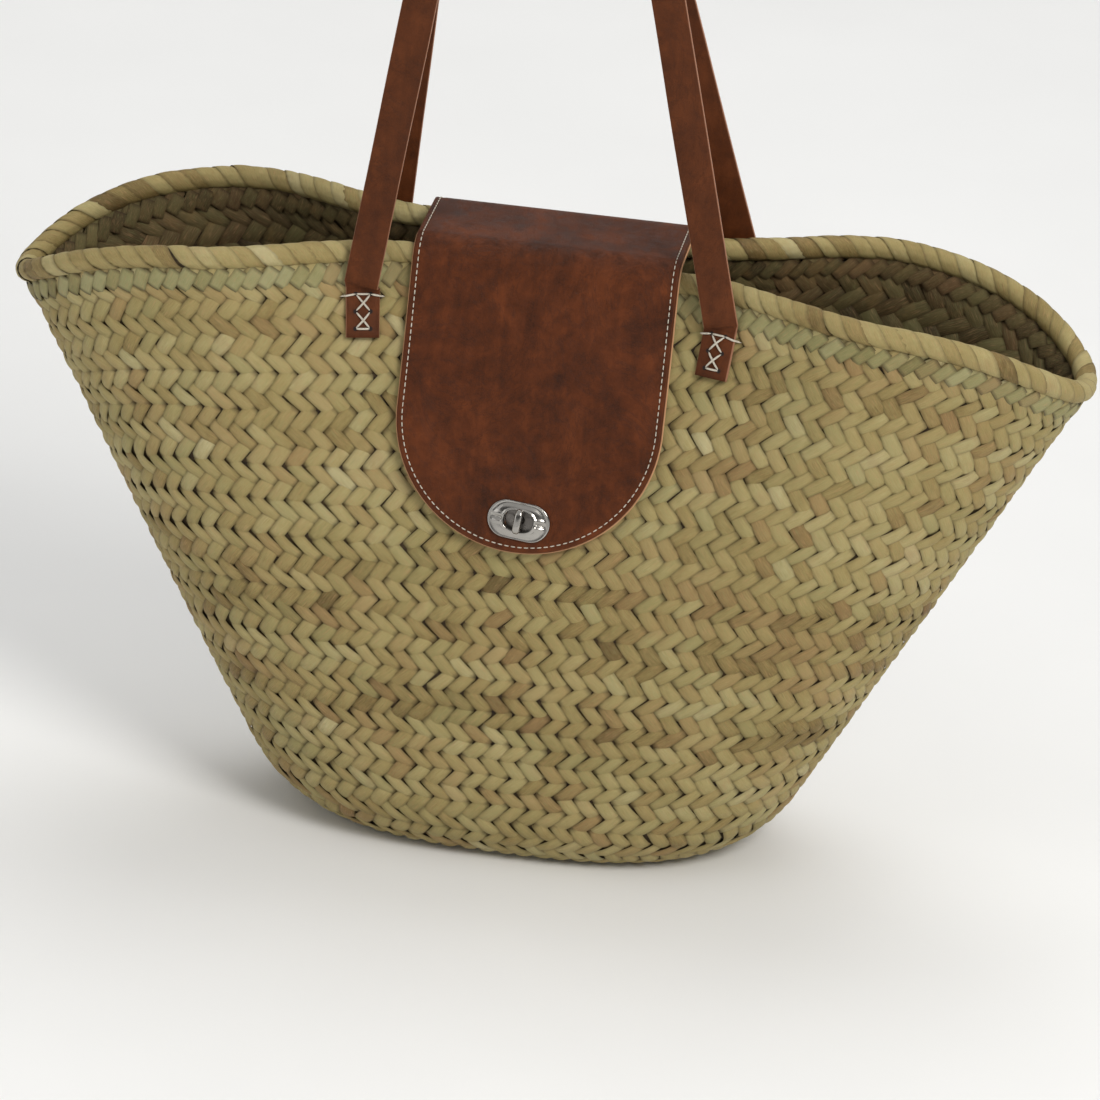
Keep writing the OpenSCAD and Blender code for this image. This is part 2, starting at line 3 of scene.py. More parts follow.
import bmesh
import bpy
import numpy as np
from mathutils import Matrix, Vector
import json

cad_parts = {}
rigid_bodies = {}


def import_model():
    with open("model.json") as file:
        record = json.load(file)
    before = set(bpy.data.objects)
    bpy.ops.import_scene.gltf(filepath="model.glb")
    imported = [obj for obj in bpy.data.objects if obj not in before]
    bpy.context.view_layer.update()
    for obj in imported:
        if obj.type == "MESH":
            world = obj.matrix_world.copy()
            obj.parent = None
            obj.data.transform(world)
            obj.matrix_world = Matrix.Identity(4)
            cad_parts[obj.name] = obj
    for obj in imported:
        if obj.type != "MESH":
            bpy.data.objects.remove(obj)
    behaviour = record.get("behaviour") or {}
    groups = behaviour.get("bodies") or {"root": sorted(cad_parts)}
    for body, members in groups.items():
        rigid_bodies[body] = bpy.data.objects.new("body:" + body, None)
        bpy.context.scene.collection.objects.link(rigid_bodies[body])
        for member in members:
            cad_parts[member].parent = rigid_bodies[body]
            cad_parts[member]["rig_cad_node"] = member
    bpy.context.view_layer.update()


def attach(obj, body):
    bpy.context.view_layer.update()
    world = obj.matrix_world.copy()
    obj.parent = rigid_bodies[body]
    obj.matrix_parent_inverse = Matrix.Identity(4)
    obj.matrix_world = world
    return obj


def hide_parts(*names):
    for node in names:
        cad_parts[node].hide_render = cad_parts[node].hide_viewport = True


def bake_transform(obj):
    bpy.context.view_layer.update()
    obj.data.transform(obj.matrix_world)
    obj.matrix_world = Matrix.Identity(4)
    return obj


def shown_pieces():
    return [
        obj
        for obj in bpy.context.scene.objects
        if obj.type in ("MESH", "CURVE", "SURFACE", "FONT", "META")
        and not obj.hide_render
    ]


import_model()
rng = np.random.default_rng(11)

# ---- Camera ----
CAM_TURN = 0.140  # round the bag, in radians
CAM_RISE = 0.433
CAM_ROLL = 0.061
CAM_DISTANCE = 3.5
CAM_LENS = 205.7
CAM_TARGET = Vector((0.0067, 0, 0.1645))

flat = math.cos(CAM_RISE)
back = Vector((math.sin(CAM_TURN) * flat, -math.cos(CAM_TURN) * flat, math.sin(CAM_RISE)))
right = Vector((math.cos(CAM_TURN), math.sin(CAM_TURN), 0))
up = back.cross(right)
cam_right = right * math.cos(CAM_ROLL) + up * math.sin(CAM_ROLL)
cam_up = up * math.cos(CAM_ROLL) - right * math.sin(CAM_ROLL)
camera = bpy.data.objects.new("camera", bpy.data.cameras.new("camera"))
bpy.context.scene.collection.objects.link(camera)
camera.matrix_world = Matrix.Translation(CAM_TARGET + back * CAM_DISTANCE) @ (
    Matrix((cam_right, cam_up, back)).transposed().to_4x4()
)
camera.data.lens = CAM_LENS
camera.data.clip_start = 0.1
camera.data.clip_end = 60
bpy.context.scene.camera = camera
bpy.context.scene.view_settings.view_transform = "Standard"

# ---- Sizes, in metres ----
TOUCH = 0.0001
BASKET_LEN = 0.600
BASKET_H = 0.350
RIM_DROP = 0.043
BASE_LEN = 0.201
BASE_DEP = 0.092
BASE_ROUND = 0.0395
LOBE_DEP = 0.129
WAIST_DEP = 0.057
BELLY = 0.018
HALF_T = 0.0025
RIM_R = 0.006
CORE_R = 0.0034
CORNER = 0.157  # share of the slant height in the rounded base edge
TOP_MID = BASKET_H - RIM_R - CORE_R
HALF_LEN = BASKET_LEN / 2 - RIM_R - CORE_R * math.sin(math.radians(32))
FLAT_X = BASE_LEN / 2
FLAT_Y = BASE_DEP / 2
ROUND_Z = BASE_ROUND - HALF_T
ROUND_X = BASE_ROUND * 0.9 - HALF_T
ROUND_Y = BASE_ROUND * 0.7 - HALF_T
SLANT = 0.362  # slant height of the wall at its middle


def smooth(low, high, x):
    u = np.clip((x - low) / (high - low), 0, 1)
    return u * u * (3 - 2 * u)


def unit(v):
    return v / np.linalg.norm(v, axis=-1, keepdims=True)


# ---- The woven wall's surface ----
def top_at(s):
    return TOP_MID - RIM_DROP * s**6


def wall(t, w):
    """Middle of the wall: t is the angle round the bag, w goes from 0 at the base to 1 at the rim."""
    t, w = np.broadcast_arrays(np.asarray(t, float), np.asarray(w, float))
    s = np.minimum(1, np.abs(np.cos(t)))
    turn = np.pi / 2 * np.minimum(1, w / CORNER)
    rise = np.maximum(0, (w - CORNER) / (1 - CORNER))

    def height(at):
        return HALF_T + ROUND_Z * (1 - np.cos(turn)) + (top_at(at) - HALF_T - ROUND_Z) * rise

    def share(at):
        return (height(at) - HALF_T) / (top_at(at) - HALF_T)

    length = FLAT_X + ROUND_X * np.sin(turn) + (HALF_LEN - FLAT_X - ROUND_X) * share(1.0)
    v = share(0.0)
    low = FLAT_Y + ROUND_Y * np.sin(turn)
    low = low + (LOBE_DEP / 2 - FLAT_Y - ROUND_Y) * v + BELLY * 4 * v * (1 - v)
    mouth = WAIST_DEP / 2 + (LOBE_DEP - WAIST_DEP) / 2 * smooth(0.25, 0.65, s)
    power = 2.7 + 3.3 * v
    depth = (low * (1 - v**3) + mouth * v**3) * np.sqrt(np.maximum(0, 1 - s**power))
    y = np.where(np.sin(t) >= 0, depth, -depth)
    return np.stack([length * np.cos(t), y, height(s)], -1)


def wall_frame(t, w):
    """Point, direction round the bag, direction up the wall and outward normal."""
    e = 1e-3
    along = unit(wall(t + e, w) - wall(t - e, w))
    rise = wall(t, w + e) - wall(t, w - e)
    out = unit(np.cross(along, rise))
    return wall(t, w), along, np.cross(out, along), out


def face_at(x, z):
    """Distance of the wall's outer face from the middle plane."""
    w = CORNER + (z - HALF_T - ROUND_Z) / (TOP_MID - HALF_T - ROUND_Z) * (1 - CORNER)
    turn = math.pi / 2 * min(1, w / CORNER)
    rise = max(0, (w - CORNER) / (1 - CORNER))
    h1 = HALF_T + ROUND_Z * (1 - math.cos(turn)) + (top_at(1.0) - HALF_T - ROUND_Z) * rise
    share = (h1 - HALF_T) / (top_at(1.0) - HALF_T)
    length = FLAT_X + ROUND_X * math.sin(turn) + (HALF_LEN - FLAT_X - ROUND_X) * share
    return float(wall(math.acos(abs(x) / length), w)[1]) + HALF_T * 1.06


def run_length(line):
    """Length along a line of points, from its start to each of them."""
    return np.concatenate([[0], np.cumsum(np.linalg.norm(np.diff(line, axis=0), axis=1))])


def round_angles(count):
    return np.linspace(0, 2 * np.pi, count + 1)[:-1]


ROUND_STEPS = np.linspace(0, 2 * np.pi, 1441)


def arc_table(w):
    return run_length(wall(ROUND_STEPS, w))


# ---- Mesh building ----
def build(name, points, quads, material, values=None, uvs=None):
    """A mesh from arrays. values: named floats, one per point. uvs: named pairs, one per point."""
    points = np.asarray(points, np.float32).reshape(-1, 3)
    quads = np.asarray(quads, np.int32)
    n = quads.shape[1]
    mesh = bpy.data.meshes.new(name)
    mesh.vertices.add(len(points))
    mesh.vertices.foreach_set("co", points.ravel())
    mesh.loops.add(quads.size)
    mesh.loops.foreach_set("vertex_index", quads.ravel())
    mesh.polygons.add(len(quads))
    mesh.polygons.foreach_set("loop_start", np.arange(0, quads.size, n, dtype=np.int32))
    mesh.polygons.foreach_set("use_smooth", np.full(len(quads), True))
    mesh.update(calc_edges=True)
    for key, value in (values or {}).items():
        layer = mesh.attributes.new(key, "FLOAT", "POINT")
        layer.data.foreach_set("value", np.asarray(value, np.float32).ravel())
    for key, value in (uvs or {}).items():
        layer = mesh.uv_layers.new(name=key)
        flat = np.asarray(value, np.float32).reshape(-1, 2)[quads.ravel()]
        layer.data.foreach_set("uv", flat.ravel())
    mesh.materials.append(material)
    obj = bpy.data.objects.new(name, mesh)
    bpy.context.scene.collection.objects.link(obj)
    return obj


def grid_quads(rows, cols, wrap=False):
    """Quads of a grid of points, row after row. wrap joins each row's end to its start."""
    i = np.arange(rows - 1)[:, None]
    j = np.arange(cols if wrap else cols - 1)[None, :]
    k = (j + 1) % cols
    return np.stack(
        [i * cols + j, i * cols + k, (i + 1) * cols + k, (i + 1) * cols + j], -1
    ).reshape(-1, 4)


def leaf_uv(u, v, count):
    """Uv of count leaves, each at its own place in the grain."""
    shift = rng.random((count, 2)) * 40
    return np.stack([u[None] + shift[:, :1], v[None] + shift[:, 1:]], -1).reshape(-1, 2)


def leaf_values(tone, side, along, count):
    """What the leaf material reads: a tone for each leaf and how near a point is to its edges."""
    repeated = {"side": np.tile(side, count), "along": np.tile(along, count)}
    return {"tone": np.repeat(tone, len(side)), **repeated}


def repeat_quads(quads, count, step):
    return (quads[None] + (np.arange(count) * step)[:, None, None]).reshape(-1, quads.shape[1])


def patch(u, v):
    """Every pairing of u and v, as two flat lists."""
    return (g.ravel() for g in np.meshgrid(u, v, indexing="ij"))


def cells(count, u, v):
    """A place in the unit square for each of count equal patches, whose own u and v go from 0 to 1."""
    side = math.ceil(math.sqrt(count))
    k = np.arange(count)
    corner = np.stack([k % side, k // side], -1)[:, None, :]
    inner = np.stack([u, v], -1)[None] * 0.86 + 0.07
    return (corner + inner) / side


# ---- Materials ----
class Nodes:
    """A short way to write a node tree."""

    def __init__(self, name):
        self.material = bpy.data.materials.new(name)
        self.material.use_nodes = True
        self.tree = self.material.node_tree
        self.shader = self.tree.nodes["Principled BSDF"]

    def add(self, kind, inputs=None, **settings):
        node = self.tree.nodes.new(kind)
        for key, value in settings.items():
            setattr(node, key, value)
        for key, value in (inputs or {}).items():
            self.put(node.inputs[key], value)
        return node

    def put(self, socket, value):
        """Links another node's output to a socket, or sets the socket to a plain value."""
        if isinstance(value, bpy.types.NodeSocket):
            self.tree.links.new(value, socket)
        else:
            socket.default_value = value

    def vary(self, base, noise, amount):
        """Adds a noise to a base value, so much to either side."""
        return self.math("MULTIPLY_ADD", self.math("SUBTRACT", noise, 0.5), amount, base)

    def math(self, operation, a, b=0.0, c=0.0):
        node = self.add("ShaderNodeMath", {0: a, 1: b, 2: c}, operation=operation)
        return node.outputs[0]

    def attribute(self, name):
        return self.add("ShaderNodeAttribute", attribute_name=name).outputs["Fac"]

    def uv(self, name):
        return self.add("ShaderNodeUVMap", uv_map=name).outputs[0]

    def place(self):
        return self.add("ShaderNodeTexCoord").outputs["Object"]

    def noise(self, vector, scale, detail=4.0, roughness=0.55, distortion=0.0):
        inputs = {"Vector": vector, "Scale": scale, "Detail": detail}
        inputs.update({"Roughness": roughness, "Distortion": distortion})
        return self.add("ShaderNodeTexNoise", inputs).outputs["Fac"]

    def stretched(self, vector, scale):
        node = self.add("ShaderNodeMapping", {"Vector": vector, "Scale": scale})
        return node.outputs[0]

    def ramp(self, factor, stops):
        node = self.add("ShaderNodeValToRGB", {"Fac": factor})
        band = node.color_ramp
        while len(band.elements) < len(stops):
            band.elements.new(0.5)
        for element, (place, colour) in zip(band.elements, stops):
            element.position = place
            element.color = (*colour, 1)
        return node.outputs["Color"]

    def level(self, value, low, high, out_low=0.0, out_high=1.0):
        inputs = {0: value, 1: low, 2: high, 3: out_low, 4: out_high}
        return self.add("ShaderNodeMapRange", inputs).outputs[0]

    def mix(self, factor, a, b):
        node = self.add("ShaderNodeMix", data_type="RGBA")
        self.put(node.inputs[0], factor)
        for socket, value in ((6, a), (7, b)):
            self.put(node.inputs[socket], (*value, 1) if isinstance(value, tuple) else value)
        return node.outputs[2]

    def bump(self, height, distance, strength=1.0, normal=None):
        inputs = {"Height": height, "Distance": distance, "Strength": strength}
        if normal is not None:
            inputs["Normal"] = normal
        return self.add("ShaderNodeBump", inputs).outputs[0]

    def finish(self, colour, roughness, normal=None, **fixed):
        for key, value in (("Base Color", colour), ("Roughness", roughness), ("Normal", normal)):
            if value is not None:
                self.put(self.shader.inputs[key], value)
        for key, value in fixed.items():
            self.shader.inputs[key.replace("_", " ")].default_value = value
        return self.material


def linear(r, g, b):
    """Linear colour of an sRGB one in 0 to 255."""
    shares = (r / 255, g / 255, b / 255)
    return tuple(c / 12.92 if c <= 0.04045 else ((c + 0.055) / 1.055) ** 2.4 for c in shares)


def palm_material(name, stops, streak=0.34, roughness=0.62):
    m = Nodes(name)
    leaf = m.uv("leaf")
    tone = m.attribute("tone")
    side = m.math("ABSOLUTE", m.attribute("side"))
    along = m.math("ABSOLUTE", m.attribute("along"))
    fibres = m.noise(m.stretched(leaf, (1.3, 16, 1)), 2.6, 5.0, 0.62)
    veins = m.noise(m.stretched(leaf, (0.5, 34, 1)), 2.2, 2.0, 0.5)
    blotch = m.noise(m.place(), 55, 4.0, 0.6)
    broad = m.noise(m.place(), 9, 2.0, 0.5)
    bands = m.noise(m.stretched(leaf, (0.7, 8, 1)), 1.9, 3.0, 0.55)
    shade = m.vary(tone, fibres, streak)
    shade = m.vary(shade, veins, 0.8)
    shade = m.vary(shade, blotch, 0.5)
    shade = m.vary(shade, broad, 0.35)
    colour = m.ramp(shade, stops)
    green = m.attribute("green")
    colour = m.mix(m.level(green, 0.2, 1.9, 0.0, 0.34), colour, linear(134, 132, 84))
    colour = m.mix(m.level(green, -0.3, -2.0, 0.0, 0.36), colour, linear(160, 122, 84))
    colour = m.mix(m.level(bands, 0.54, 0.74, 0.0, 0.55), colour, linear(180, 142, 100))
    colour = m.mix(m.level(bands, 0.46, 0.28, 0.0, 0.45), colour, linear(140, 138, 90))
    brown = m.mix(m.level(blotch, 0.55, 0.75), colour, linear(146, 112, 66))
    colour = m.mix(0.4, colour, brown)
    # Painted shade: each leaf is darker towards its sides and ends, where it dives under its neighbours.
    painted_edge_shade = m.math("MAXIMUM", m.level(side, 0.62, 1.05, 0.0, 0.6), m.level(along, 0.66, 0.98))
    colour = m.mix(m.math("MULTIPLY", painted_edge_shade, 0.72), colour, linear(60, 43, 21))
    height = m.math("MULTIPLY_ADD", veins, 0.7, m.math("MULTIPLY", fibres, 0.5))
    normal = m.bump(height, 0.0006, 0.75)
    rough = m.level(fibres, 0.2, 0.8, roughness - 0.1, roughness + 0.16)
    return m.finish(colour, rough, normal, Specular_IOR_Level=0.35)


WEAVE_STOPS = [
    (0.00, linear(100, 80, 42)), (0.22, linear(136, 116, 68)), (0.42, linear(156, 139, 88)),
    (0.60, linear(167, 152, 101)), (0.78, linear(178, 165, 118)), (1.00, linear(192, 182, 140)),
]
# Painted shade: the inside leaves are the same palm, coloured darker for the shade inside the basket.
INSIDE_SHADE_STOPS = [
    (0.00, linear(52, 40, 22)), (0.30, linear(76, 63, 36)), (0.55, linear(96, 82, 50)),
    (0.80, linear(114, 100, 63)), (1.00, linear(132, 118, 80)),
]
GREEN_STOPS = [
    (0.00, linear(98, 88, 48)), (0.35, linear(132, 124, 78)), (0.60, linear(150, 144, 98)),
    (1.00, linear(172, 168, 128)),
]
weave_leaf = palm_material("woven_palm_leaf", WEAVE_STOPS)
shaded_palm_inside = palm_material("inside_palm_in_painted_shade", INSIDE_SHADE_STOPS)
green_leaf = palm_material("green_palm_leaf", GREEN_STOPS)
rim_leaf = palm_material("rim_palm_leaf", WEAVE_STOPS, 0.42)


# Painted shade: a dark brown for what shows between the floats and wraps, standing for leaf in shadow
# behind them.
def gap_shade_material():
    m = Nodes("painted_shade_behind_leaves")
    place = m.place()
    strips = m.noise(m.stretched(place, (60, 60, 240)), 3.0, 4.0)
    colour = m.ramp(strips, [(0.3, linear(34, 25, 13)), (0.7, linear(74, 57, 31))])
    return m.finish(colour, 0.85, m.bump(strips, 0.0006, 0.6))


def leather_material(name, dark, mid, light, wear, roughness=0.42, seed=0.0):
    m = Nodes(name)
    place = m.add("ShaderNodeMapping", {"Vector": m.place(), "Location": (seed, seed * 2, 0)}).outputs[0]
    cloud = m.noise(place, 22, 6.0, 0.62, 0.8)
    mottle = m.noise(place, 130, 4.0, 0.6, 0.4)
    crease = m.noise(m.stretched(place, (22, 22, 13)), 1.0, 7.0, 0.74, 2.6)
    streak = m.noise(m.stretched(place, (120, 60, 9)), 1.0, 4.0, 0.6, 0.6)
    line = m.level(m.math("ABSOLUTE", m.math("SUBTRACT", crease, 0.5)), 0.0, 0.018, 1.0, 0.0)
    pores = m.add("ShaderNodeTexVoronoi", {"Vector": place, "Scale": 900.0}, feature="DISTANCE_TO_EDGE")
    grain = m.noise(place, 1500, 3.0, 0.6)
    shade = m.vary(cloud, mottle, 0.55)
    shade = m.vary(shade, streak, 0.42)
    colour = m.ramp(shade, [(0.26, dark), (0.50, mid), (0.76, light)])
    # Painted shade: crease lines are darkened in the colour as well as in the bump.
    colour = m.mix(m.math("MULTIPLY", line, 0.45), colour, dark)
    colour = m.mix(m.level(grain, 0.35, 0.7, 0.0, 0.25), colour, light)
    edge = m.attribute("edge")
    colour = m.mix(m.level(edge, 0.25, 0.95), colour, wear)
    pits = m.level(pores.outputs["Distance"], 0.0, 0.12)
    height = m.math("MULTIPLY_ADD", pits, 0.6, m.math("MULTIPLY", grain, 0.5))
    normal = m.bump(height, 0.00022, 0.55)
    normal = m.bump(m.math("MULTIPLY_ADD", line, -0.5, cloud), 0.0012, 0.35, normal)
    rough = m.level(mottle, 0.25, 0.75, roughness - 0.08, roughness + 0.14)
    return m.finish(colour, rough, normal, Specular_IOR_Level=0.13, Coat_Weight=0.02, Coat_Roughness=0.4)


flap_tints = (linear(44, 21, 8), linear(76, 36, 13), linear(102, 51, 22), linear(88, 47, 24))
flap_leather = leather_material("flap_leather", *flap_tints)
strap_tints = (linear(64, 32, 14), linear(82, 42, 19), linear(100, 53, 26), linear(168, 122, 96))
strap_leather = leather_material("strap_leather", *strap_tints, 0.5, 3.0)
lining_tints = (linear(140, 92, 58), linear(168, 118, 80), linear(190, 142, 102), linear(196, 150, 112))
raw_lining = leather_material("raw_lining", *lining_tints, 0.75, 7.0)


def thread_material():
    m = Nodes("waxed_thread")
    inputs = {"Vector": m.uv("leaf"), "Scale": 1.0, "Distortion": 0.6}
    twist = m.add("ShaderNodeTexWave", inputs, bands_direction="DIAGONAL").outputs["Fac"]
    fuzz = m.noise(m.place(), 900, 3.0)
    shade = m.math("MULTIPLY_ADD", fuzz, 0.5, m.math("MULTIPLY", twist, 0.5))
    stops = [(0.15, linear(150, 140, 120)), (0.55, linear(206, 198, 182)), (0.9, linear(232, 227, 214))]
    colour = m.ramp(shade, stops)
    return m.finish(colour, 0.8, m.bump(shade, 0.0003, 0.5))


def metal_material(name, tint, low, high):
    m = Nodes(name)
    place = m.place()
    smudge = m.noise(place, 140, 4.0, 0.6)
    scratch = m.noise(m.stretched(place, (600, 5200, 900)), 1.0, 2.0)
    rough = m.level(m.math("MULTIPLY_ADD", scratch, 0.35, smudge), 0.35, 0.95, low, high)
    colour = m.mix(m.level(smudge, 0.4, 0.8), tint, tuple(c * 0.82 for c in tint))
    normal = m.bump(scratch, 0.00003, 0.25)
    return m.finish(colour, rough, normal, Metallic=1.0)


gap_shade = gap_shade_material()
thread = thread_material()
chrome = metal_material("chrome", (0.40, 0.38, 0.35), 0.10, 0.24)
steel = metal_material("plated_steel", (0.24, 0.22, 0.20), 0.20, 0.40)


# ---- The weave ----
def leaf_rows(rows, along_n, across_n, side, material, name, start=0.0, stop=2 * np.pi):
    """Leaf floats in rows round the wall, one dict for each row. side is 1 outside and -1 inside."""
    uu, vv = patch(np.linspace(-1, 1, along_n), np.linspace(-1, 1, across_n))
    points, tones, greens, uv, count = [], [], [], [], 0
    for row in rows:
        table = row["table"]
        total = table[-1]
        m = max(8, round(total / row["pitch"]))
        pitch = total / m
        s0 = (np.arange(m) + row["phase"]) * pitch
        mid = np.interp(s0 % total, table, ROUND_STEPS)
        keep = (mid >= start) & (mid < stop)
        s0, mid = s0[keep], mid[keep]
        n = len(s0)
        length = row["length"] * row["stretch"] * (1 + rng.normal(0, 0.05, n))
        width = pitch * row["cover"] * (1 + rng.normal(0, 0.04, n))
        angle = row["angle"] + rng.normal(0, 0.05, n)
        a = uu[None] * length[:, None] / 2
        c = vv[None] * width[:, None] / 2
        ca, sa = np.cos(angle)[:, None], np.sin(angle)[:, None]
        x = a * ca - c * sa + rng.normal(0, 0.0003, n)[:, None]
        y = a * sa + c * ca + rng.normal(0, 0.0003, n)[:, None]
        s = (s0[:, None] + x) % total
        t = np.interp(s, table, ROUND_STEPS)
        w = np.clip(row["w"] + y / row["height"] * row["step"], 0.0, row["top"])
        p, _, _, out = wall_frame(t, w)
        e = np.abs(uu)[None] * row["stretch"]
        lift = row["lift"] * (1 - (e / row["dive"]) ** 2) + row["crown"] * (1 - np.abs(vv[None]) ** 2.2)
        for tilt, size in ((1, 0.00010), (vv[None], 0.00014), (uu[None], 0.00010)):
            lift = lift + tilt * rng.normal(0, size, n)[:, None]
        points.append(p + out * (side * (row["off"] + lift))[..., None])
        slant = np.sign(row["angle"]) * row["number"] * row["height"]
        strip = np.round(s0 / pitch - slant / pitch).astype(int)
        strip_tone = strip_noise[(strip * 7 + (13 if row["angle"] > 0 else 0)) % len(strip_noise)]
        patch_tone = np.sin(3 * mid + 0.35 * row["number"]) * np.sin(7 * mid - 0.5 * row["number"] + 2)
        tone = row["tone"] + 0.085 * strip_tone + 0.05 * patch_tone + rng.normal(0, 0.055, n)
        odd = rng.random(n)
        tone = np.where(odd < 0.035, tone - 0.16, np.where(odd > 0.97, tone + 0.13, tone))
        green = rng.normal(0, 0.6, n) + 0.6 * np.sin(5 * mid + 0.8 * row["number"] + 1) + 0.5 * strip_tone
        tones.append(tone)
        greens.append(np.repeat(green, len(uu)))
        uv.append(leaf_uv(uu, vv / 2, n))
        count += n
    points = np.concatenate([p.reshape(-1, 3) for p in points])
    points[:, 2] = np.maximum(points[:, 2], GROUND)
    quads = repeat_quads(grid_quads(along_n, across_n), count, len(uu))
    if side > 0:
        quads = quads[:, ::-1]
    bake = cells(count, (uu + 1) / 2, (vv + 1) / 2).reshape(-1, 2)
    values = leaf_values(np.concatenate(tones), vv, np.abs(uu), count)
    values["green"] = np.concatenate(greens)
    obj = build(name, points, quads, material, values, {"leaf": np.concatenate(uv), "OFBake": bake})
    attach(obj, "basket")
    return obj


strip_noise = rng.normal(0, 1, 997)
GROUND = 0.0002


def leaf_row(number, w, step, height, pitch, angle, lift, crown, tone):
    """What leaf_rows asks of each row and is set the same way for the wall and the plaits."""
    row = {"number": number, "w": w, "step": step, "height": height, "table": arc_table(w)}
    row.update(pitch=pitch, angle=angle, lift=lift, crown=crown, tone=tone)
    return row


def wall_rows(rows, pitch, lift, crown, tone, spread):
    """The rows of a herringbone: each row's floats lean the other way."""
    made = []
    height = SLANT / rows
    tint = rng.normal(0, 1, rows + 4)
    tint = np.convolve(tint, [0.25, 0.5, 0.25], "same")
    for i in range(rows):
        lean, at = math.radians(45 if i % 2 else -45), (i + 0.5) / rows
        row = leaf_row(i, at, 1 / rows, height, pitch, lean, lift, crown, tone + spread * tint[i])
        row.update(phase=0.5 * (i % 2), length=math.sqrt(2) * height, cover=0.735, stretch=1.34)
        row.update(dive=1.05, off=HALF_T - 0.0012, top=0.998)
        made.append(row)
    return made


OUTER = wall_rows(36, 0.0106, 0.00140, 0.00115, 0.47, 0.085)
INNER = wall_rows(31, 0.0122, 0.00130, 0.00100, 0.42, 0.08)
weave_front = leaf_rows(OUTER, 8, 7, 1, weave_leaf, "weave_front", math.pi, 2 * math.pi)
leaf_rows(OUTER, 8, 7, 1, weave_leaf, "weave_rear", 0, math.pi)
leaf_rows(INNER, 6, 4, -1, shaded_palm_inside, "weave_inside")


def base_leaves(z, up_side, name, material, pitch=0.0091, row_h=0.0098):
    """The plaited base: floats in straight rows, cut to the base's outline."""
    uu, vv = patch(np.linspace(-1, 1, 6), np.linspace(-1, 1, 4))
    centres = []
    for i in range(-6, 7):
        for j in range(-14, 15):
            x, y = (j + 0.5 * (i % 2)) * pitch, i * row_h
            inside = 1 - abs(x / (FLAT_X + 0.004)) ** 2.7
            if inside > 0 and abs(y) < (FLAT_Y + 0.003) * math.sqrt(inside):
                centres.append((x, y, 1 if i % 2 else -1))
    centres = np.array(centres)
    n = len(centres)
    angle = np.radians(45) * centres[:, 2] + rng.normal(0, 0.05, n)
    a = uu[None] * math.sqrt(2) * row_h * 1.32 / 2
    c = vv[None] * pitch * 0.735 / 2
    x = centres[:, :1] + a * np.cos(angle)[:, None] - c * np.sin(angle)[:, None]
    y = centres[:, 1:2] + a * np.sin(angle)[:, None] + c * np.cos(angle)[:, None]
    lift = 0.0008 * (1 - (np.abs(uu)[None] * 1.32 / 1.12) ** 2) + 0.0004 * (1 - vv[None] ** 2)
    lift = lift + rng.normal(0, 0.0001, n)[:, None]
    points = np.stack([x, y, z + up_side * lift], -1)
    quads = repeat_quads(grid_quads(6, 4), n, len(uu))
    if up_side > 0:
        quads = quads[:, ::-1]
    values = leaf_values(0.45 + rng.normal(0, 0.12, n), vv, np.abs(uu), n)
    uv = leaf_uv(uu, vv / 2, n)
    bake = cells(n, (uu + 1) / 2, (vv + 1) / 2)
    obj = build(name, points, quads, material, values, {"leaf": uv, "OFBake": bake})
    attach(obj, "basket")
    return obj


weave_under = base_leaves(0.0013, -1, "weave_under", weave_leaf)
base_leaves(0.0041, 1, "weave_floor", shaded_palm_inside)
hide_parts("basket_base")
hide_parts("basket_wall")


def gap_shade_mesh():
    """A thin body between the outer and inner leaves, painted dark as shade, so that no gap shows
    through.
    """
    t = round_angles(240)
    rings = []
    edge = wall(t, 0.0)
    for share in (0.03, 0.5, 0.98):
        rings.append(np.stack([edge[:, 0] * share, edge[:, 1] * share, np.full(len(t), 0.0019)], -1))
    levels = np.linspace(0.02, 0.985, 44)
    for sign, order in ((1, levels), (-1, levels[::-1])):
        for w in order:
            p, _, _, out = wall_frame(t, w)
            rings.append(p + out * 0.0011 * sign)
    for share in (0.95, 0.5, 0.03):
        rings.append(np.stack([edge[:, 0] * share, edge[:, 1] * share, np.full(len(t), 0.0036)], -1))
    points = np.concatenate(rings)
    quads = grid_quads(len(rings), len(t), True)
    obj = build("weave_shade_backing", points, quads, gap_shade)
    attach(obj, "basket")


gap_shade_mesh()

# ---- The rim ----
RIM_TABLE = arc_table(1.0)


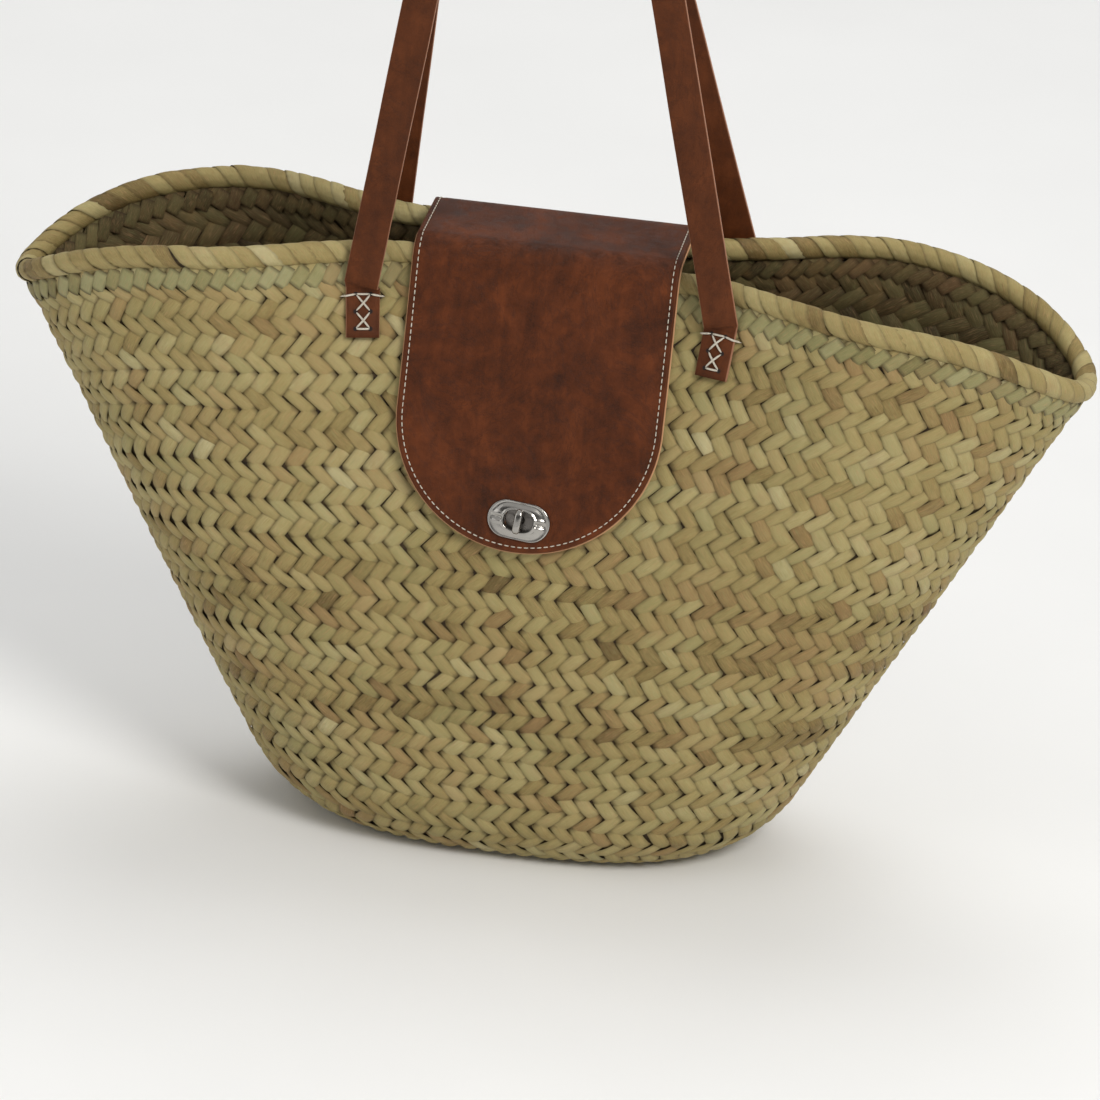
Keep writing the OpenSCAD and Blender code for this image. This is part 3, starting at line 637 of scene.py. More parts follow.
def rim_wraps():
    """Leaf wound round the rim: slanted bands, each a little over the next."""
    total = RIM_TABLE[-1]
    count = 132
    pitch = total / count
    phi = np.radians(np.linspace(-66, 246, 22))
    x = np.linspace(-0.62, 0.62, 6)
    pp, xx = patch(phi, x)
    k = np.arange(count)
    width = pitch * (1 + rng.normal(0, 0.07, count))
    lean = 0.0125 * (1 + rng.normal(0, 0.10, count))
    centre = k * pitch + rng.normal(0, 0.0005, count)
    s = centre[:, None] + xx[None] * width[:, None] - lean[:, None] * (pp[None] - np.pi / 2) / np.pi
    t = np.interp(s % total, RIM_TABLE, ROUND_STEPS)
    p, _, rise, out = wall_frame(t, 1.0)
    r = RIM_R - 0.0002 + 0.00045 * (1 - (xx[None] / 0.62) ** 2) + 0.0005 * xx[None]
    r = r + rng.normal(0, 0.00012, count)[:, None]
    r = r + 0.00012 * np.sin(9 * pp[None] + 6 * rng.random(count)[:, None])
    centre_line = p + rise * (TOUCH + CORE_R)
    points = centre_line + out * (r * np.cos(pp))[..., None] + rise * (r * np.sin(pp))[..., None]
    quads = repeat_quads(grid_quads(len(phi), len(x)), count, len(pp))
    tone = 0.5 + rng.normal(0, 0.14, count)
    tone = np.where(rng.random(count) < 0.14, tone - 0.22, tone)
    # along grows from the roll's top to where each wrap tucks in, so the leaf material paints shade on
    # the roll's underside.
    values = leaf_values(tone, xx / 0.62, np.abs(pp - np.pi / 2) / np.pi * 0.9, count)
    uv = leaf_uv(pp, xx, count)
    bake = cells(count, (pp - pp.min()) / np.ptp(pp), (xx + 0.62) / 1.24)
    obj = build("rim_roll", points, quads, rim_leaf, values, {"leaf": uv, "OFBake": bake})
    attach(obj, "basket")
    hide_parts("rim_wrap", "rim_core")


rim_wraps()


def rim_shade_roll():
    """The dark roll under the wound leaf: painted shade that shows between the wraps."""
    t = round_angles(240)
    phi = round_angles(12)
    p, _, rise, out = wall_frame(t, 1.0)
    rings = [
        p + rise * (TOUCH + CORE_R) + (out * math.cos(a) + rise * math.sin(a)) * (RIM_R - 0.0006)
        for a in phi
    ]
    rings.append(rings[0])
    obj = build("rim_shade_roll", np.concatenate(rings), grid_quads(13, len(t), True)[:, ::-1], gap_shade)
    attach(obj, "basket")


rim_shade_roll()


def plait(side, name, material, node, lean, tone):
    height = 0.0100
    w = 1 - 0.0078 / SLANT
    row = leaf_row(0, w, height / SLANT, height, 0.0086, math.radians(lean), 0.0011, 0.0006, tone)
    row.update(phase=0, length=0.0136, cover=0.86, stretch=1.0)
    row.update(dive=1.25, off=HALF_T + 0.0004, top=0.9995)
    obj = leaf_rows([row], 8, 6, side, material, name)
    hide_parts(node)


plait(1, "plait_outside", green_leaf, "rim_plait", 52, 0.52)
plait(-1, "plait_inside", shaded_palm_inside, "inner_plait", -52, 0.5)

# ---- Tubes, for thread ----
def tubes(lines, radius, sides=7):
    """Points, quads and uv of round tubes along lines, narrowed at both ends."""
    points, quads, uv, at = [], [], [], 0
    for line in lines:
        line = np.asarray(line, float)
        n = len(line)
        way = unit(np.gradient(line, axis=0))
        ref = np.array([0.3, 0.9, 0.1]) if abs(way[0][1]) < 0.8 else np.array([1.0, 0.1, 0.2])
        a = unit(np.cross(way, ref))
        b = np.cross(way, a)
        share = np.sin(np.clip(np.linspace(0, 1, n) * 5, 0, 1) * np.pi / 2)
        share = np.minimum(share, share[::-1]).clip(0.15, 1)
        angle = round_angles(sides)
        ring = a[:, None] * np.cos(angle)[None, :, None] + b[:, None] * np.sin(angle)[None, :, None]
        points.append((line[:, None] + ring * (radius * share)[:, None, None]).reshape(-1, 3))
        quads.append(grid_quads(n, sides, True) + at)
        run = run_length(line)
        uv.append(np.stack([np.repeat(run * 900, sides), np.tile(np.arange(sides) / sides * 3, n)], -1))
        at += n * sides
    return np.concatenate(points), np.concatenate(quads), np.concatenate(uv)


def thread_piece(name, lines, radius):
    points, quads, uv = tubes(lines, radius)
    obj = build(name, points, quads, thread, None, {"leaf": uv})
    return obj


# ---- Straps ----
STRAP_W = 0.0185
STRAP_T = 0.003
STRAP_X = 0.197 / 2
FREE = 0.0004
PLAIT_T = 0.0018
PLAIT_GAP = 0.0006
STRAP_RISE = 0.300
END_LEN = 0.027
BEND_GAP = 0.004
SEAM_Z = BASKET_H - 2 * RIM_R - 0.010 + 0.0025
NEAR_X = STRAP_X - STRAP_W / 2
FAR_X = STRAP_X + STRAP_W / 2
FACET_ROOM = 0.0009
STRAP_Y = face_at(FAR_X, SEAM_Z) + FACET_ROOM + PLAIT_GAP + PLAIT_T + FREE + STRAP_T / 2
END_TOP = SEAM_Z - BEND_GAP
END_FOOT = END_TOP - END_LEN
END_GAP = FACET_ROOM + 0.0005
END_FACE = (face_at(NEAR_X, END_TOP) + face_at(FAR_X, END_TOP)) / 2
END_LEAN = math.atan(((face_at(NEAR_X, END_FOOT) + face_at(FAR_X, END_FOOT)) / 2 - END_FACE) / END_LEN)
END_TURN = math.atan((face_at(FAR_X, END_TOP) - face_at(NEAR_X, END_TOP)) / STRAP_W)
LEG_RISE = STRAP_RISE * 0.62
LEG_LEAN = 0.19
LEG_X = STRAP_X - LEG_LEAN * LEG_RISE
ARCH_PULL = 0.65
ARCH_WIDTH = 0.58
TOP_Y = 0.014


def arch(u):
    """Half of the arch in its own plane, from the sewn end at 0 to the top at 1."""
    if u < 0.5:
        return np.array([-STRAP_X + LEG_LEAN * LEG_RISE * u * 2, LEG_RISE * u * 2])
    q = u * 2 - 1
    rest = STRAP_RISE - LEG_RISE
    a = np.array([-LEG_X, LEG_RISE])
    b = np.array([-LEG_X + LEG_LEAN * ARCH_PULL * rest, LEG_RISE + ARCH_PULL * rest])
    c = np.array([-LEG_X * ARCH_WIDTH, STRAP_RISE])
    d = np.array([0, STRAP_RISE])
    return (1 - q) ** 3 * a + 3 * (1 - q) ** 2 * q * b + 3 * (1 - q) * q * q * c + q**3 * d


def arch_way(u):
    v = arch(min(1, u + 0.005)) - arch(max(0, u - 0.005))
    return v / np.linalg.norm(v)


def end_frame(x_side, y_side):
    """The top of a sewn end on the wall, with its axes: across, up along the face, out of it."""
    origin = np.array([x_side * STRAP_X, y_side * (END_FACE + END_GAP), END_TOP])
    ct, st = math.cos(END_TURN), math.sin(END_TURN)
    level = np.array([-x_side * st, y_side * ct, 0])
    across = np.array([ct, x_side * y_side * st, 0])
    upward = -level * math.sin(END_LEAN) + np.array([0, 0, math.cos(END_LEAN)])
    outward = level * math.cos(END_LEAN) + np.array([0, 0, math.sin(END_LEAN)])
    return origin, across, upward, outward


CORNER_R = 0.0009
SECTION = []
for corner_x, corner_y, start in ((1, 1, 0), (-1, 1, 90), (-1, -1, 180), (1, -1, 270)):
    for step in (0, 30, 60, 90):
        angle = math.radians(start + step)
        x = corner_x * (STRAP_W / 2 - CORNER_R) + CORNER_R * math.cos(angle)
        y = corner_y * (STRAP_T / 2 - CORNER_R) + CORNER_R * math.sin(angle)
        SECTION.append((x, y, math.cos(angle) ** 2))


def strap_mesh(side, sway, name):
    """One strip of leather: sewn end, leg, arch, leg and sewn end."""
    frames = []

    def placed(q):
        y = STRAP_Y + (TOP_Y - STRAP_Y) * q[2] / STRAP_RISE
        return np.array([q[0] - sway * q[2], q[1] + side * y, SEAM_Z + q[2]])

    origin, end_across, upward, outward = end_frame(-1, side)
    for k in range(9):
        down = END_LEN * (1 - k / 8)
        p = origin - upward * down + outward * (STRAP_T / 2)
        frames.append((p, -side * end_across, outward))
    for u in np.linspace(0, 1, 61):
        p, d = arch(u), arch_way(u)
        twist = math.pi / 2 * float(smooth(0.5, 1, u))
        face = np.array([-math.sin(twist) * d[1], math.cos(twist) * side, math.sin(twist) * d[0]])
        across = np.cross(np.array([d[0], 0, d[1]]), face)
        frames.append((placed(np.array([p[0], 0, p[1]])), across, face))
    mirrored = []
    flip = np.array([-1, 1, 1])
    for p, across, face in reversed(frames[:-1]):
        lean = sway * (p[2] - SEAM_Z) if p[2] > END_TOP + 0.002 else 0
        mirrored.append((np.array([-(p[0] + lean) - lean, p[1], p[2]]), across * flip, face * flip, -1))
    rings = []
    section = np.array(SECTION)
    wave = rng.random(4) * 6
    for k, (p, across, face, hand) in enumerate([(*f, 1) for f in frames] + mirrored):
        ripple = 1 + 0.012 * math.sin(k * 0.31 + wave[0])
        belly = 0.00018 * math.sin(k * 0.43 + wave[1])
        x = section[:, 0] * ripple * hand
        rings.append(p + across * x[:, None] + face * (section[:, 1] + belly)[:, None])
    points = np.concatenate(rings)
    quads = grid_quads(len(rings), len(section), True)
    caps = []
    for first in (0, len(rings) - 1):
        ids = first * len(section) + np.arange(len(section))
        half = len(section) // 2
        for j in range(half - 1):
            quad = [ids[j], ids[j + 1], ids[-2 - j], ids[-1 - j]]
            caps.append(quad if first else quad[::-1])
    quads = np.concatenate([quads, np.array(caps)])
    obj = build(name, points, quads, strap_leather, {"edge": np.tile(section[:, 2], len(rings))})
    recalc(obj)
    word = "front" if side < 0 else "rear"
    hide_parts(f"{word}_strap", f"{word}_left_strap_end", f"{word}_right_strap_end")
    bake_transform(obj)


def recalc(obj):
    """Turns all faces outwards."""
    bpy.context.view_layer.objects.active = obj
    for other in bpy.context.selected_objects:
        other.select_set(False)
    obj.select_set(True)
    bpy.ops.object.mode_set(mode="EDIT")
    bpy.ops.mesh.select_all(action="SELECT")
    bpy.ops.mesh.normals_make_consistent(inside=False)
    bpy.ops.object.mode_set(mode="OBJECT")
    obj.select_set(False)


strap_mesh(-1, 0.054, "shoulder_strap_front")
strap_mesh(1, 0.10, "shoulder_strap_rear")

LACE_X = STRAP_W * 0.22
LACE_ROWS = (-0.12, -0.47, -0.82)


def lacing(x_side, y_side, name, node):
    """Two crosses of thread between six holes, closed by a bar above and below."""
    origin, across, upward, outward = end_frame(x_side, y_side)
    lift = STRAP_T + 0.0003

    def at(a, b, z):
        return origin + across * a + upward * b + outward * z

    def hole(c, k):
        return c * LACE_X, LACE_ROWS[k] * END_LEN

    def run(a, b, high):
        out = []
        for q in np.linspace(0, 1, 12):
            x = a[0] + (b[0] - a[0]) * q
            y = a[1] + (b[1] - a[1]) * q
            z = lift + high * math.sin(math.pi * q) - 0.0012 * (1 - math.sin(math.pi * q) ** 0.3)
            out.append(at(x, y, z))
        return out

    lines = []
    for k in (0, 1):
        lines.append(run(hole(-1, k), hole(1, k + 1), 0.0006))
        lines.append(run(hole(1, k), hole(-1, k + 1), 0.0016))
    for k in (0, 2):
        lines.append(run(hole(-1, k), hole(1, k), 0.0005))
    for sign in (-1, 1):
        line = []
        for q in np.linspace(0, 1, 14):
            x = sign * (LACE_X + (STRAP_W / 2 + 0.0030 - LACE_X) * q)
            y = LACE_ROWS[0] * END_LEN - 0.0016 * q
            over = smooth(STRAP_W / 2 - 0.0003, STRAP_W / 2 + 0.0016, abs(x))
            z = lift + 0.0003 - (STRAP_T + 0.0003) * float(over)
            if q > 0.9:
                z -= 0.0016 * (q - 0.9) / 0.1
            line.append(at(x, y, z))
        lines.append(line)
    obj = thread_piece(name, lines, 0.00058)
    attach(obj, "basket")
    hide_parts(node)
    # Dark discs on the six holes: painted shade inside the holes.
    rings = []
    quads = []
    turn = round_angles(14)
    for x, y in [hole(c, k) for c in (-1, 1) for k in range(3)]:
        quads.append(grid_quads(3, len(turn), True) + len(rings) * len(turn))
        for r, z in ((0.00125, 0.00006), (0.0010, 0.00012), (0.0001, 0.00013)):
            rings.append([at(x + r * math.cos(a), y + r * math.sin(a), STRAP_T + z) for a in turn])
    dark = build(name + "_hole_shadows", np.array(rings).reshape(-1, 3), np.concatenate(quads), painted_hole_shade)
    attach(dark, "basket")


# Painted shade: a near-black for the shadow inside the punched holes.
def hole_shade_material():
    m = Nodes("hole_shadow_disc")
    spots = m.noise(m.place(), 2200, 3.0)
    colour = m.ramp(spots, [(0.3, linear(14, 8, 5)), (0.7, linear(34, 20, 13))])
    return m.finish(colour, 0.9, m.bump(spots, 0.0002, 0.4))


painted_hole_shade = hole_shade_material()
for word_y, y_side in (("front", -1), ("rear", 1)):
    for word_x, x_side in (("left", -1), ("right", 1)):
        lacing(x_side, y_side, f"thread_{word_y}_{word_x}", f"{word_y}_{word_x}_lacing")

# ---- Flap ----
FLAP_W = 0.145
FLAP_LEN = 0.153
ANCHOR_LEN = 0.062
LEATHER_T = 0.0022
LINING_T = 0.0012
INSET = 0.003
ROLL_Y = WAIST_DEP / 2
ROLL_Z = BASKET_H - RIM_R
FOLD_SHIFT = 0.0052
FOLD_DROP = 0.003
FOLD_IN = RIM_R + math.hypot(FOLD_SHIFT, FOLD_DROP) + FREE
FLAP_T = LEATHER_T + LINING_T
FOLD_MID = FOLD_IN + FLAP_T / 2
FOLD_OUT = FOLD_IN + FLAP_T
FOLD_Y = ROLL_Y - FOLD_SHIFT
FOLD_Z = ROLL_Z - FOLD_DROP
PLATE_W = 0.021
PLATE_L = 0.035
EYE_L = 0.016
EYE_W = 0.0115
LOCK_DOWN = FLAP_LEN - PLATE_W / 2 - 0.007


def lean_of(reach, drop):
    return math.atan(reach / drop) - math.asin(FOLD_MID / math.hypot(reach, drop))


LOCK_Z = FOLD_Z - LOCK_DOWN * math.cos(math.radians(17.5))
PATCH_T = 0.0012
SHEET_T = 0.0008
WALL_CURVE = 0.0014
UNDER_LOCK = PATCH_T + SHEET_T + SHEET_T + 2 * FREE + WALL_CURVE
FRONT_LEAN = lean_of(face_at(0, LOCK_Z) + UNDER_LOCK + FLAP_T / 2 - FOLD_Y, FOLD_Z - LOCK_Z)
ANCHOR_Z = FOLD_Z - ANCHOR_LEN + 0.006
ANCHOR_LEAN = lean_of(face_at(0, ANCHOR_Z) + FREE + FLAP_T / 2 - FOLD_Y, FOLD_Z - ANCHOR_Z)


def flap_path(v, lean):
    """Point on the inner surface's path and its outward direction, in the YZ plane, front towards +y.
    v is the length along the flap from the middle of the bridge."""
    v = np.asarray(v, float)
    arc = (math.pi / 2 - lean) * FOLD_MID
    turned = np.clip((v - FOLD_Y) / FOLD_MID, 0, math.pi / 2 - lean)
    angle = math.pi / 2 - turned
    down = np.maximum(0, v - FOLD_Y - arc)
    flat = np.minimum(v, FOLD_Y)
    y = flat + down * math.sin(lean)
    z = FOLD_Z - down * math.cos(lean)
    return np.stack([y, z], -1), np.stack([np.cos(angle), np.sin(angle)], -1)


def flap_arc(lean):
    return FOLD_Y + (math.pi / 2 - lean) * FOLD_MID


def sag(x, v, front):
    """The leather's gentle waves: none at the lock, on the bridge's ends or where it is sewn down."""
    if not front:
        return 0 * x + 0 * v
    start = flap_arc(FRONT_LEAN)
    down = v - start
    near = np.exp(-((x / 0.032) ** 2 + ((down - LOCK_DOWN) / 0.026) ** 2))
    amount = smooth(0.0, 0.05, down) * (1 - near)
    wave = 0.0010 * np.sin(x * 42 + 1.2) * np.sin(down * 34 + 0.5)
    curl = 0.0018 * np.abs(x / (FLAP_W / 2)) ** 3 * smooth(0.03, 0.12, down)
    return amount * (wave + curl + 0.0006)


def flap_point(x, v, r, front):
    """Point on the flap at radius r from the fold's middle."""
    lean = FRONT_LEAN if front else ANCHOR_LEAN
    path, out = flap_path(v, lean)
    sign = -1 if front else 1
    away = r + sag(x, v, front)
    y = path[..., 0] + out[..., 0] * away
    z = path[..., 1] + out[..., 1] * away
    return np.stack([x + 0 * y, sign * y, z], -1)


def flap_sheet(name, material, low, high, front, grow, soften):
    """A leather layer from the bridge's middle to its edge, closed, with softened edges."""
    lean = FRONT_LEAN if front else ANCHOR_LEAN
    length = flap_arc(lean) + (FLAP_LEN if front else ANCHOR_LEN) + grow
    half = FLAP_W / 2 + grow
    edge = 1 - np.array([0, 0.004, 0.012, 0.024, 0.045, 0.08])
    inner = np.linspace(-0.86, 0.86, 42)
    cols = np.concatenate([-edge, inner, edge[::-1]])
    bridge = np.linspace(0, flap_arc(lean), 26)
    if front:
        turn_from = length - half
        down = np.linspace(flap_arc(lean), turn_from, 34)[1:]
        tip = turn_from + half * np.sin(np.linspace(0, math.pi / 2, 52))[1:]
        rows = np.concatenate([bridge, down, tip])
        rows[-1] = length - 1e-5
        left = np.maximum(0, half**2 - (rows - turn_from) ** 2)
        width = np.where(rows > turn_from, np.sqrt(left), half)
    else:
        tip = length - np.array([0.0118, 0.0056, 0.003, 0.0015, 0.0006, 0])
        down = np.linspace(flap_arc(lean), tip[0], 22)[1:-1]
        rows = np.concatenate([bridge, down, tip])
        width = np.full(len(rows), half)
    x = cols[None] * width[:, None]
    v = np.broadcast_to(rows[:, None], x.shape)
    side_gap = width[:, None] - np.abs(x)
    if front:
        over = np.maximum(0, v - turn_from)
        gap = np.where(v > turn_from, half - np.sqrt(x**2 + over**2), side_gap)
    else:
        gap = np.minimum(side_gap, length - v)
    gap = np.maximum(gap, 0)
    drop = soften * (1 - np.sqrt(np.clip(1 - (1 - np.clip(gap / soften, 0, 1)) ** 2, 0, 1)))
    sewn = high > FOLD_IN + LINING_T + 1e-6
    groove = 0.00030 * np.exp(-(((gap - INSET) / 0.0010) ** 2)) if sewn else 0
    top = flap_point(x, v, high - drop - groove, front)
    bottom = flap_point(x, v, low + 0 * x, front)
    points = np.concatenate([top.reshape(-1, 3), bottom.reshape(-1, 3)])
    values = {"edge": np.tile(np.clip(1 - gap / 0.0016, 0, 1).ravel(), 2)}
    size = x.size
    ids = np.arange(size).reshape(x.shape)
    quads = grid_quads(*x.shape)
    parts = [quads, quads[:, ::-1] + size]
    border = np.concatenate([ids[0], ids[1:, -1], ids[-1, -2::-1], ids[-2:0:-1, 0]])
    after = np.roll(border, -1)
    parts.append(np.stack([after, border, border + size, after + size], -1))
    obj = build(name, points, np.concatenate(parts), material, values)
    recalc(obj)
    return obj


def open_join(obj):
    """Leaves out the hidden end faces where the front and rear halves of the flap meet."""
    mesh = bmesh.new()
    mesh.from_mesh(obj.data)
    hidden = [f for f in mesh.faces if all(abs(v.co.y) < 1e-5 for v in f.verts)]
    bmesh.ops.delete(mesh, geom=hidden, context="FACES_ONLY")
    mesh.to_mesh(obj.data)
    mesh.free()


def eye_cut(obj):
    """Cuts the oval hole for the knob."""
    cutter = loft_stadium(EYE_L + 0.0002, EYE_W + 0.0002, -0.02, 0.02)
    modifier = obj.modifiers.new("eye", "BOOLEAN")
    modifier.object = cutter
    modifier.operation = "DIFFERENCE"
    modifier.solver = "EXACT"
    bpy.context.view_layer.update()
    graph = bpy.context.evaluated_depsgraph_get()
    mesh = bpy.data.meshes.new_from_object(obj.evaluated_get(graph))
    obj.modifiers.clear()
    obj.data = mesh
    bpy.data.objects.remove(cutter)


# ---- The lock's own frame: origin on the flap's outer face, Z along the knob's axis ----
LOCK_SLANT = math.radians(6)
lock_y = -(FOLD_Y + LOCK_DOWN * math.sin(FRONT_LEAN) + FOLD_OUT * math.cos(FRONT_LEAN))
lock_z = FOLD_Z - LOCK_DOWN * math.cos(FRONT_LEAN) + FOLD_OUT * math.sin(FRONT_LEAN)
LOCK_O = np.array([0, lock_y, lock_z])
LOCK_N = np.array([0, -math.cos(FRONT_LEAN), math.sin(FRONT_LEAN)])
panel_up = np.array([0, math.sin(FRONT_LEAN), math.cos(FRONT_LEAN)])
panel_x = np.array([1.0, 0, 0])
LOCK_X = panel_x * math.cos(LOCK_SLANT) - panel_up * math.sin(LOCK_SLANT)
LOCK_Y = panel_x * math.sin(LOCK_SLANT) + panel_up * math.cos(LOCK_SLANT)


def lock_point(x, y, z):
    x, y, z = (np.asarray(q, float)[..., None] for q in (x, y, z))
    return LOCK_O + LOCK_X * x + LOCK_Y * y + LOCK_N * z


def lock_ring(r, z):
    """A ring of points round the knob's axis, at distance r and height z."""
    return lock_point(r * np.cos(ANGLES), r * np.sin(ANGLES), z + 0 * ANGLES)


def ring_mesh(name, rings, material, values=None):
    """A mesh of rings with one point for each of ANGLES, each ring joined to the next."""
    return build(name, np.concatenate(rings), grid_quads(len(rings), len(ANGLES), True), material, values)


def stadium(length, width, angle):
    """Outline of a stadium at a polar angle, as a distance from its middle."""
    r = width / 2
    a = (length - width) / 2
    c, s = np.abs(np.cos(angle)), np.abs(np.sin(angle))
    flat = r / np.maximum(s, 1e-9)
    end = a * c + np.sqrt(np.maximum(r * r - (a * s) ** 2, 0))
    return np.where(flat * c <= a, flat, end)


def oval(length, width, angle, power=2.5):
    c, s = np.abs(np.cos(angle)), np.abs(np.sin(angle))
    return ((c / (length / 2)) ** power + (s / (width / 2)) ** power) ** (-1 / power)


ANGLES = round_angles(96)


def loft_stadium(length, width, low, high):
    r = stadium(length, width, ANGLES)
    points = np.concatenate([lock_ring(r, z) for z in (low, high)])
    mesh = bpy.data.meshes.new("cutter")
    n = len(ANGLES)
    faces = [tuple(int(q) for q in f) for f in grid_quads(2, n, True)]
    faces += [tuple(range(n))[::-1], tuple(range(n, 2 * n))]
    mesh.from_pydata([tuple(map(float, p)) for p in points], [], faces)
    cutter = bpy.data.objects.new("cutter", mesh)
    bpy.context.scene.collection.objects.link(cutter)
    return cutter


SPLIT = FOLD_IN + LINING_T
LEATHER_IN = SPLIT + 0.00005
leather_front = flap_sheet("flap_leather_front", flap_leather, LEATHER_IN, FOLD_OUT, True, 0.0, 0.0008)
lining_front = flap_sheet("flap_lining_front", raw_lining, FOLD_IN, SPLIT, True, 0.0007, 0.0003)
leather_rear = flap_sheet("flap_leather_rear", flap_leather, LEATHER_IN, FOLD_OUT, False, 0.0, 0.0008)
lining_rear = flap_sheet("flap_lining_rear", raw_lining, FOLD_IN, SPLIT, False, 0.0007, 0.0003)
for piece in (leather_front, lining_front):
    eye_cut(piece)
for piece in (leather_front, lining_front, leather_rear, lining_rear):
    open_join(piece)

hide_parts("flap_front")
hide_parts("front_lining")
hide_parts("flap_anchor", "flap_bridge")
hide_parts("anchor_lining", "bridge_lining")


def running_stitches(front):
    """Stitches along the flap's edge: each rises out of the leather and goes back in."""
    lean = FRONT_LEAN if front else ANCHOR_LEAN
    start = flap_arc(lean)
    length = start + (FLAP_LEN if front else ANCHOR_LEN)
    side_x = FLAP_W / 2 - INSET
    pitch = 0.0036
    long = 0.0026
    step = 0.0005
    if front:
        foot_at = length - FLAP_W / 2
        turn = np.arange(0, math.pi, step / side_x)
        foot = np.stack([side_x * np.cos(turn), foot_at + side_x * np.sin(turn)], -1)
    else:
        foot_at = length - INSET
        across = np.arange(side_x, -side_x, -step)
        foot = np.stack([across, foot_at + 0 * across], -1)
    down, up = np.arange(0, foot_at, step), np.arange(foot_at, 0, -step)
    left, right = np.stack([0 * down + side_x, down], -1), np.stack([0 * up - side_x, up], -1)
    tracks = [np.concatenate([left, foot, right])]
    if not front:
        across = np.arange(-side_x + 0.004, side_x - 0.004, step)
        tracks.append(np.stack([across, length - 0.015 + 0 * across], -1))
    lines = []
    for line in tracks:
        run = run_length(line)
        count = int(run[-1] / pitch)
        for k in range(count):
            middle = (k + 0.5) * run[-1] / count
            q = np.linspace(middle - long / 2, middle + long / 2, 9)
            x = np.interp(q, run, line[:, 0])
            v = np.interp(q, run, line[:, 1])
            rise = 0.00030 * np.sin(np.linspace(0, math.pi, 9)) - 0.00012
            lines.append(flap_point(x, v, FOLD_OUT - 0.00015 + rise, front))
    return lines


stitches_front = thread_piece("flap_stitches_front", running_stitches(True), 0.00032)
stitches_rear = thread_piece("flap_stitches_rear", running_stitches(False), 0.00032)
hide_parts("front_stitching")
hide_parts("anchor_stitching", "bridge_stitching")
for piece in (leather_front, lining_front, stitches_front):
    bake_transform(piece)
for piece in (leather_rear, lining_rear, stitches_rear):
    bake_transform(piece)


# ---- Turn lock ----
def escutcheon():
    """The stamped face plate: rolled edge, dished field, a lip round the eye, pinched at each end."""
    profile = [
        (0.000, 0.0000), (0.004, 0.0006), (0.020, 0.0011), (0.060, 0.0016), (0.120, 0.0017),
        (0.180, 0.0015), (0.240, 0.0014), (0.340, 0.0016), (0.480, 0.0020), (0.620, 0.0023),
        (0.740, 0.00245), (0.800, 0.0025), (0.860, 0.0029), (0.910, 0.0031), (0.950, 0.0030),
        (0.985, 0.0026), (1.000, 0.0018), (1.000, 0.0002), (1.000, -0.0030),
    ]
    outer = stadium(PLATE_L, PLATE_W, ANGLES)
    inner = oval(EYE_L, EYE_W, ANGLES)
    rings = []
    for share, z in profile:
        r = outer + (inner - outer) * share
        x, y = r * np.cos(ANGLES), r * np.sin(ANGLES)
        field = float(smooth(0.20, 0.34, share) * (1 - smooth(0.84, 0.93, share)))
        past = np.clip((np.abs(x) - EYE_L / 2 + 0.001) / 0.003, 0, 1)
        pinch = 0.0010 * np.exp(-((y / 0.00085) ** 2)) * past * field
        ridge = 0.0004 * np.exp(-(((np.abs(y) - 0.0020) / 0.0009) ** 2)) * past * field
        rings.append(lock_point(x, y, TOUCH + z - pinch + ridge))
    obj = ring_mesh("lock_face_plate", rings, chrome)
    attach(obj, "flap_panel")
    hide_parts("lock_escutcheon")


escutcheon()

BASE_TOP = -FLAP_T - SHEET_T - FREE
PLATE_EDGE = 0.0012
PLATE_RISE = 0.0013
KNOB_SEAT = PLATE_EDGE + PLATE_RISE + FREE
KNOB_L = 0.0138
KNOB_W = 0.005


def knob():
    """The turning bar: a cushion-shaped grip, waisted along its sides, on a round neck."""
    rings = []
    for share, z in (
        (0.02, 0.0), (0.55, 0.0), (0.86, 0.0001), (0.95, 0.0005), (1.00, 0.0013), (1.00, 0.0024),
        (0.96, 0.0033), (0.86, 0.0040), (0.62, 0.0044), (0.30, 0.00448), (0.02, 0.0045),
    ):
        r = oval(KNOB_L, KNOB_W, ANGLES, 3.2)
        long, short = r * np.cos(ANGLES) * share, r * np.sin(ANGLES) * share
        long_reach = np.abs(long) / (KNOB_L / 2)
        short = short * (1 - 0.14 * (1 - long_reach**2))
        crown = z * (1 - 0.16 * long_reach**2) if z > 0.002 else z + 0 * long
        rings.append(lock_point(short, long, KNOB_SEAT + crown))
    grip = ring_mesh("knob_grip", rings, chrome)
    neck_rings = []
    for r, z in (
        (0.0026, BASE_TOP + 0.0004), (0.0026, BASE_TOP + 0.0014), (0.0022, BASE_TOP + 0.0018),
        (0.0020, BASE_TOP + 0.0022), (0.0020, KNOB_SEAT - 0.0004), (0.0024, KNOB_SEAT + 0.0003),
    ):
        neck_rings.append(lock_ring(r, z))
    neck = ring_mesh("knob_neck", neck_rings, steel)
    for piece in (grip, neck):
        recalc(piece)
        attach(piece, "knob")
    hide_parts("turn_knob")


knob()


PATCH_L = 0.044
PATCH_W = 0.028
PATCH_SEAM = 0.0025
HOLE_R = 0.0036


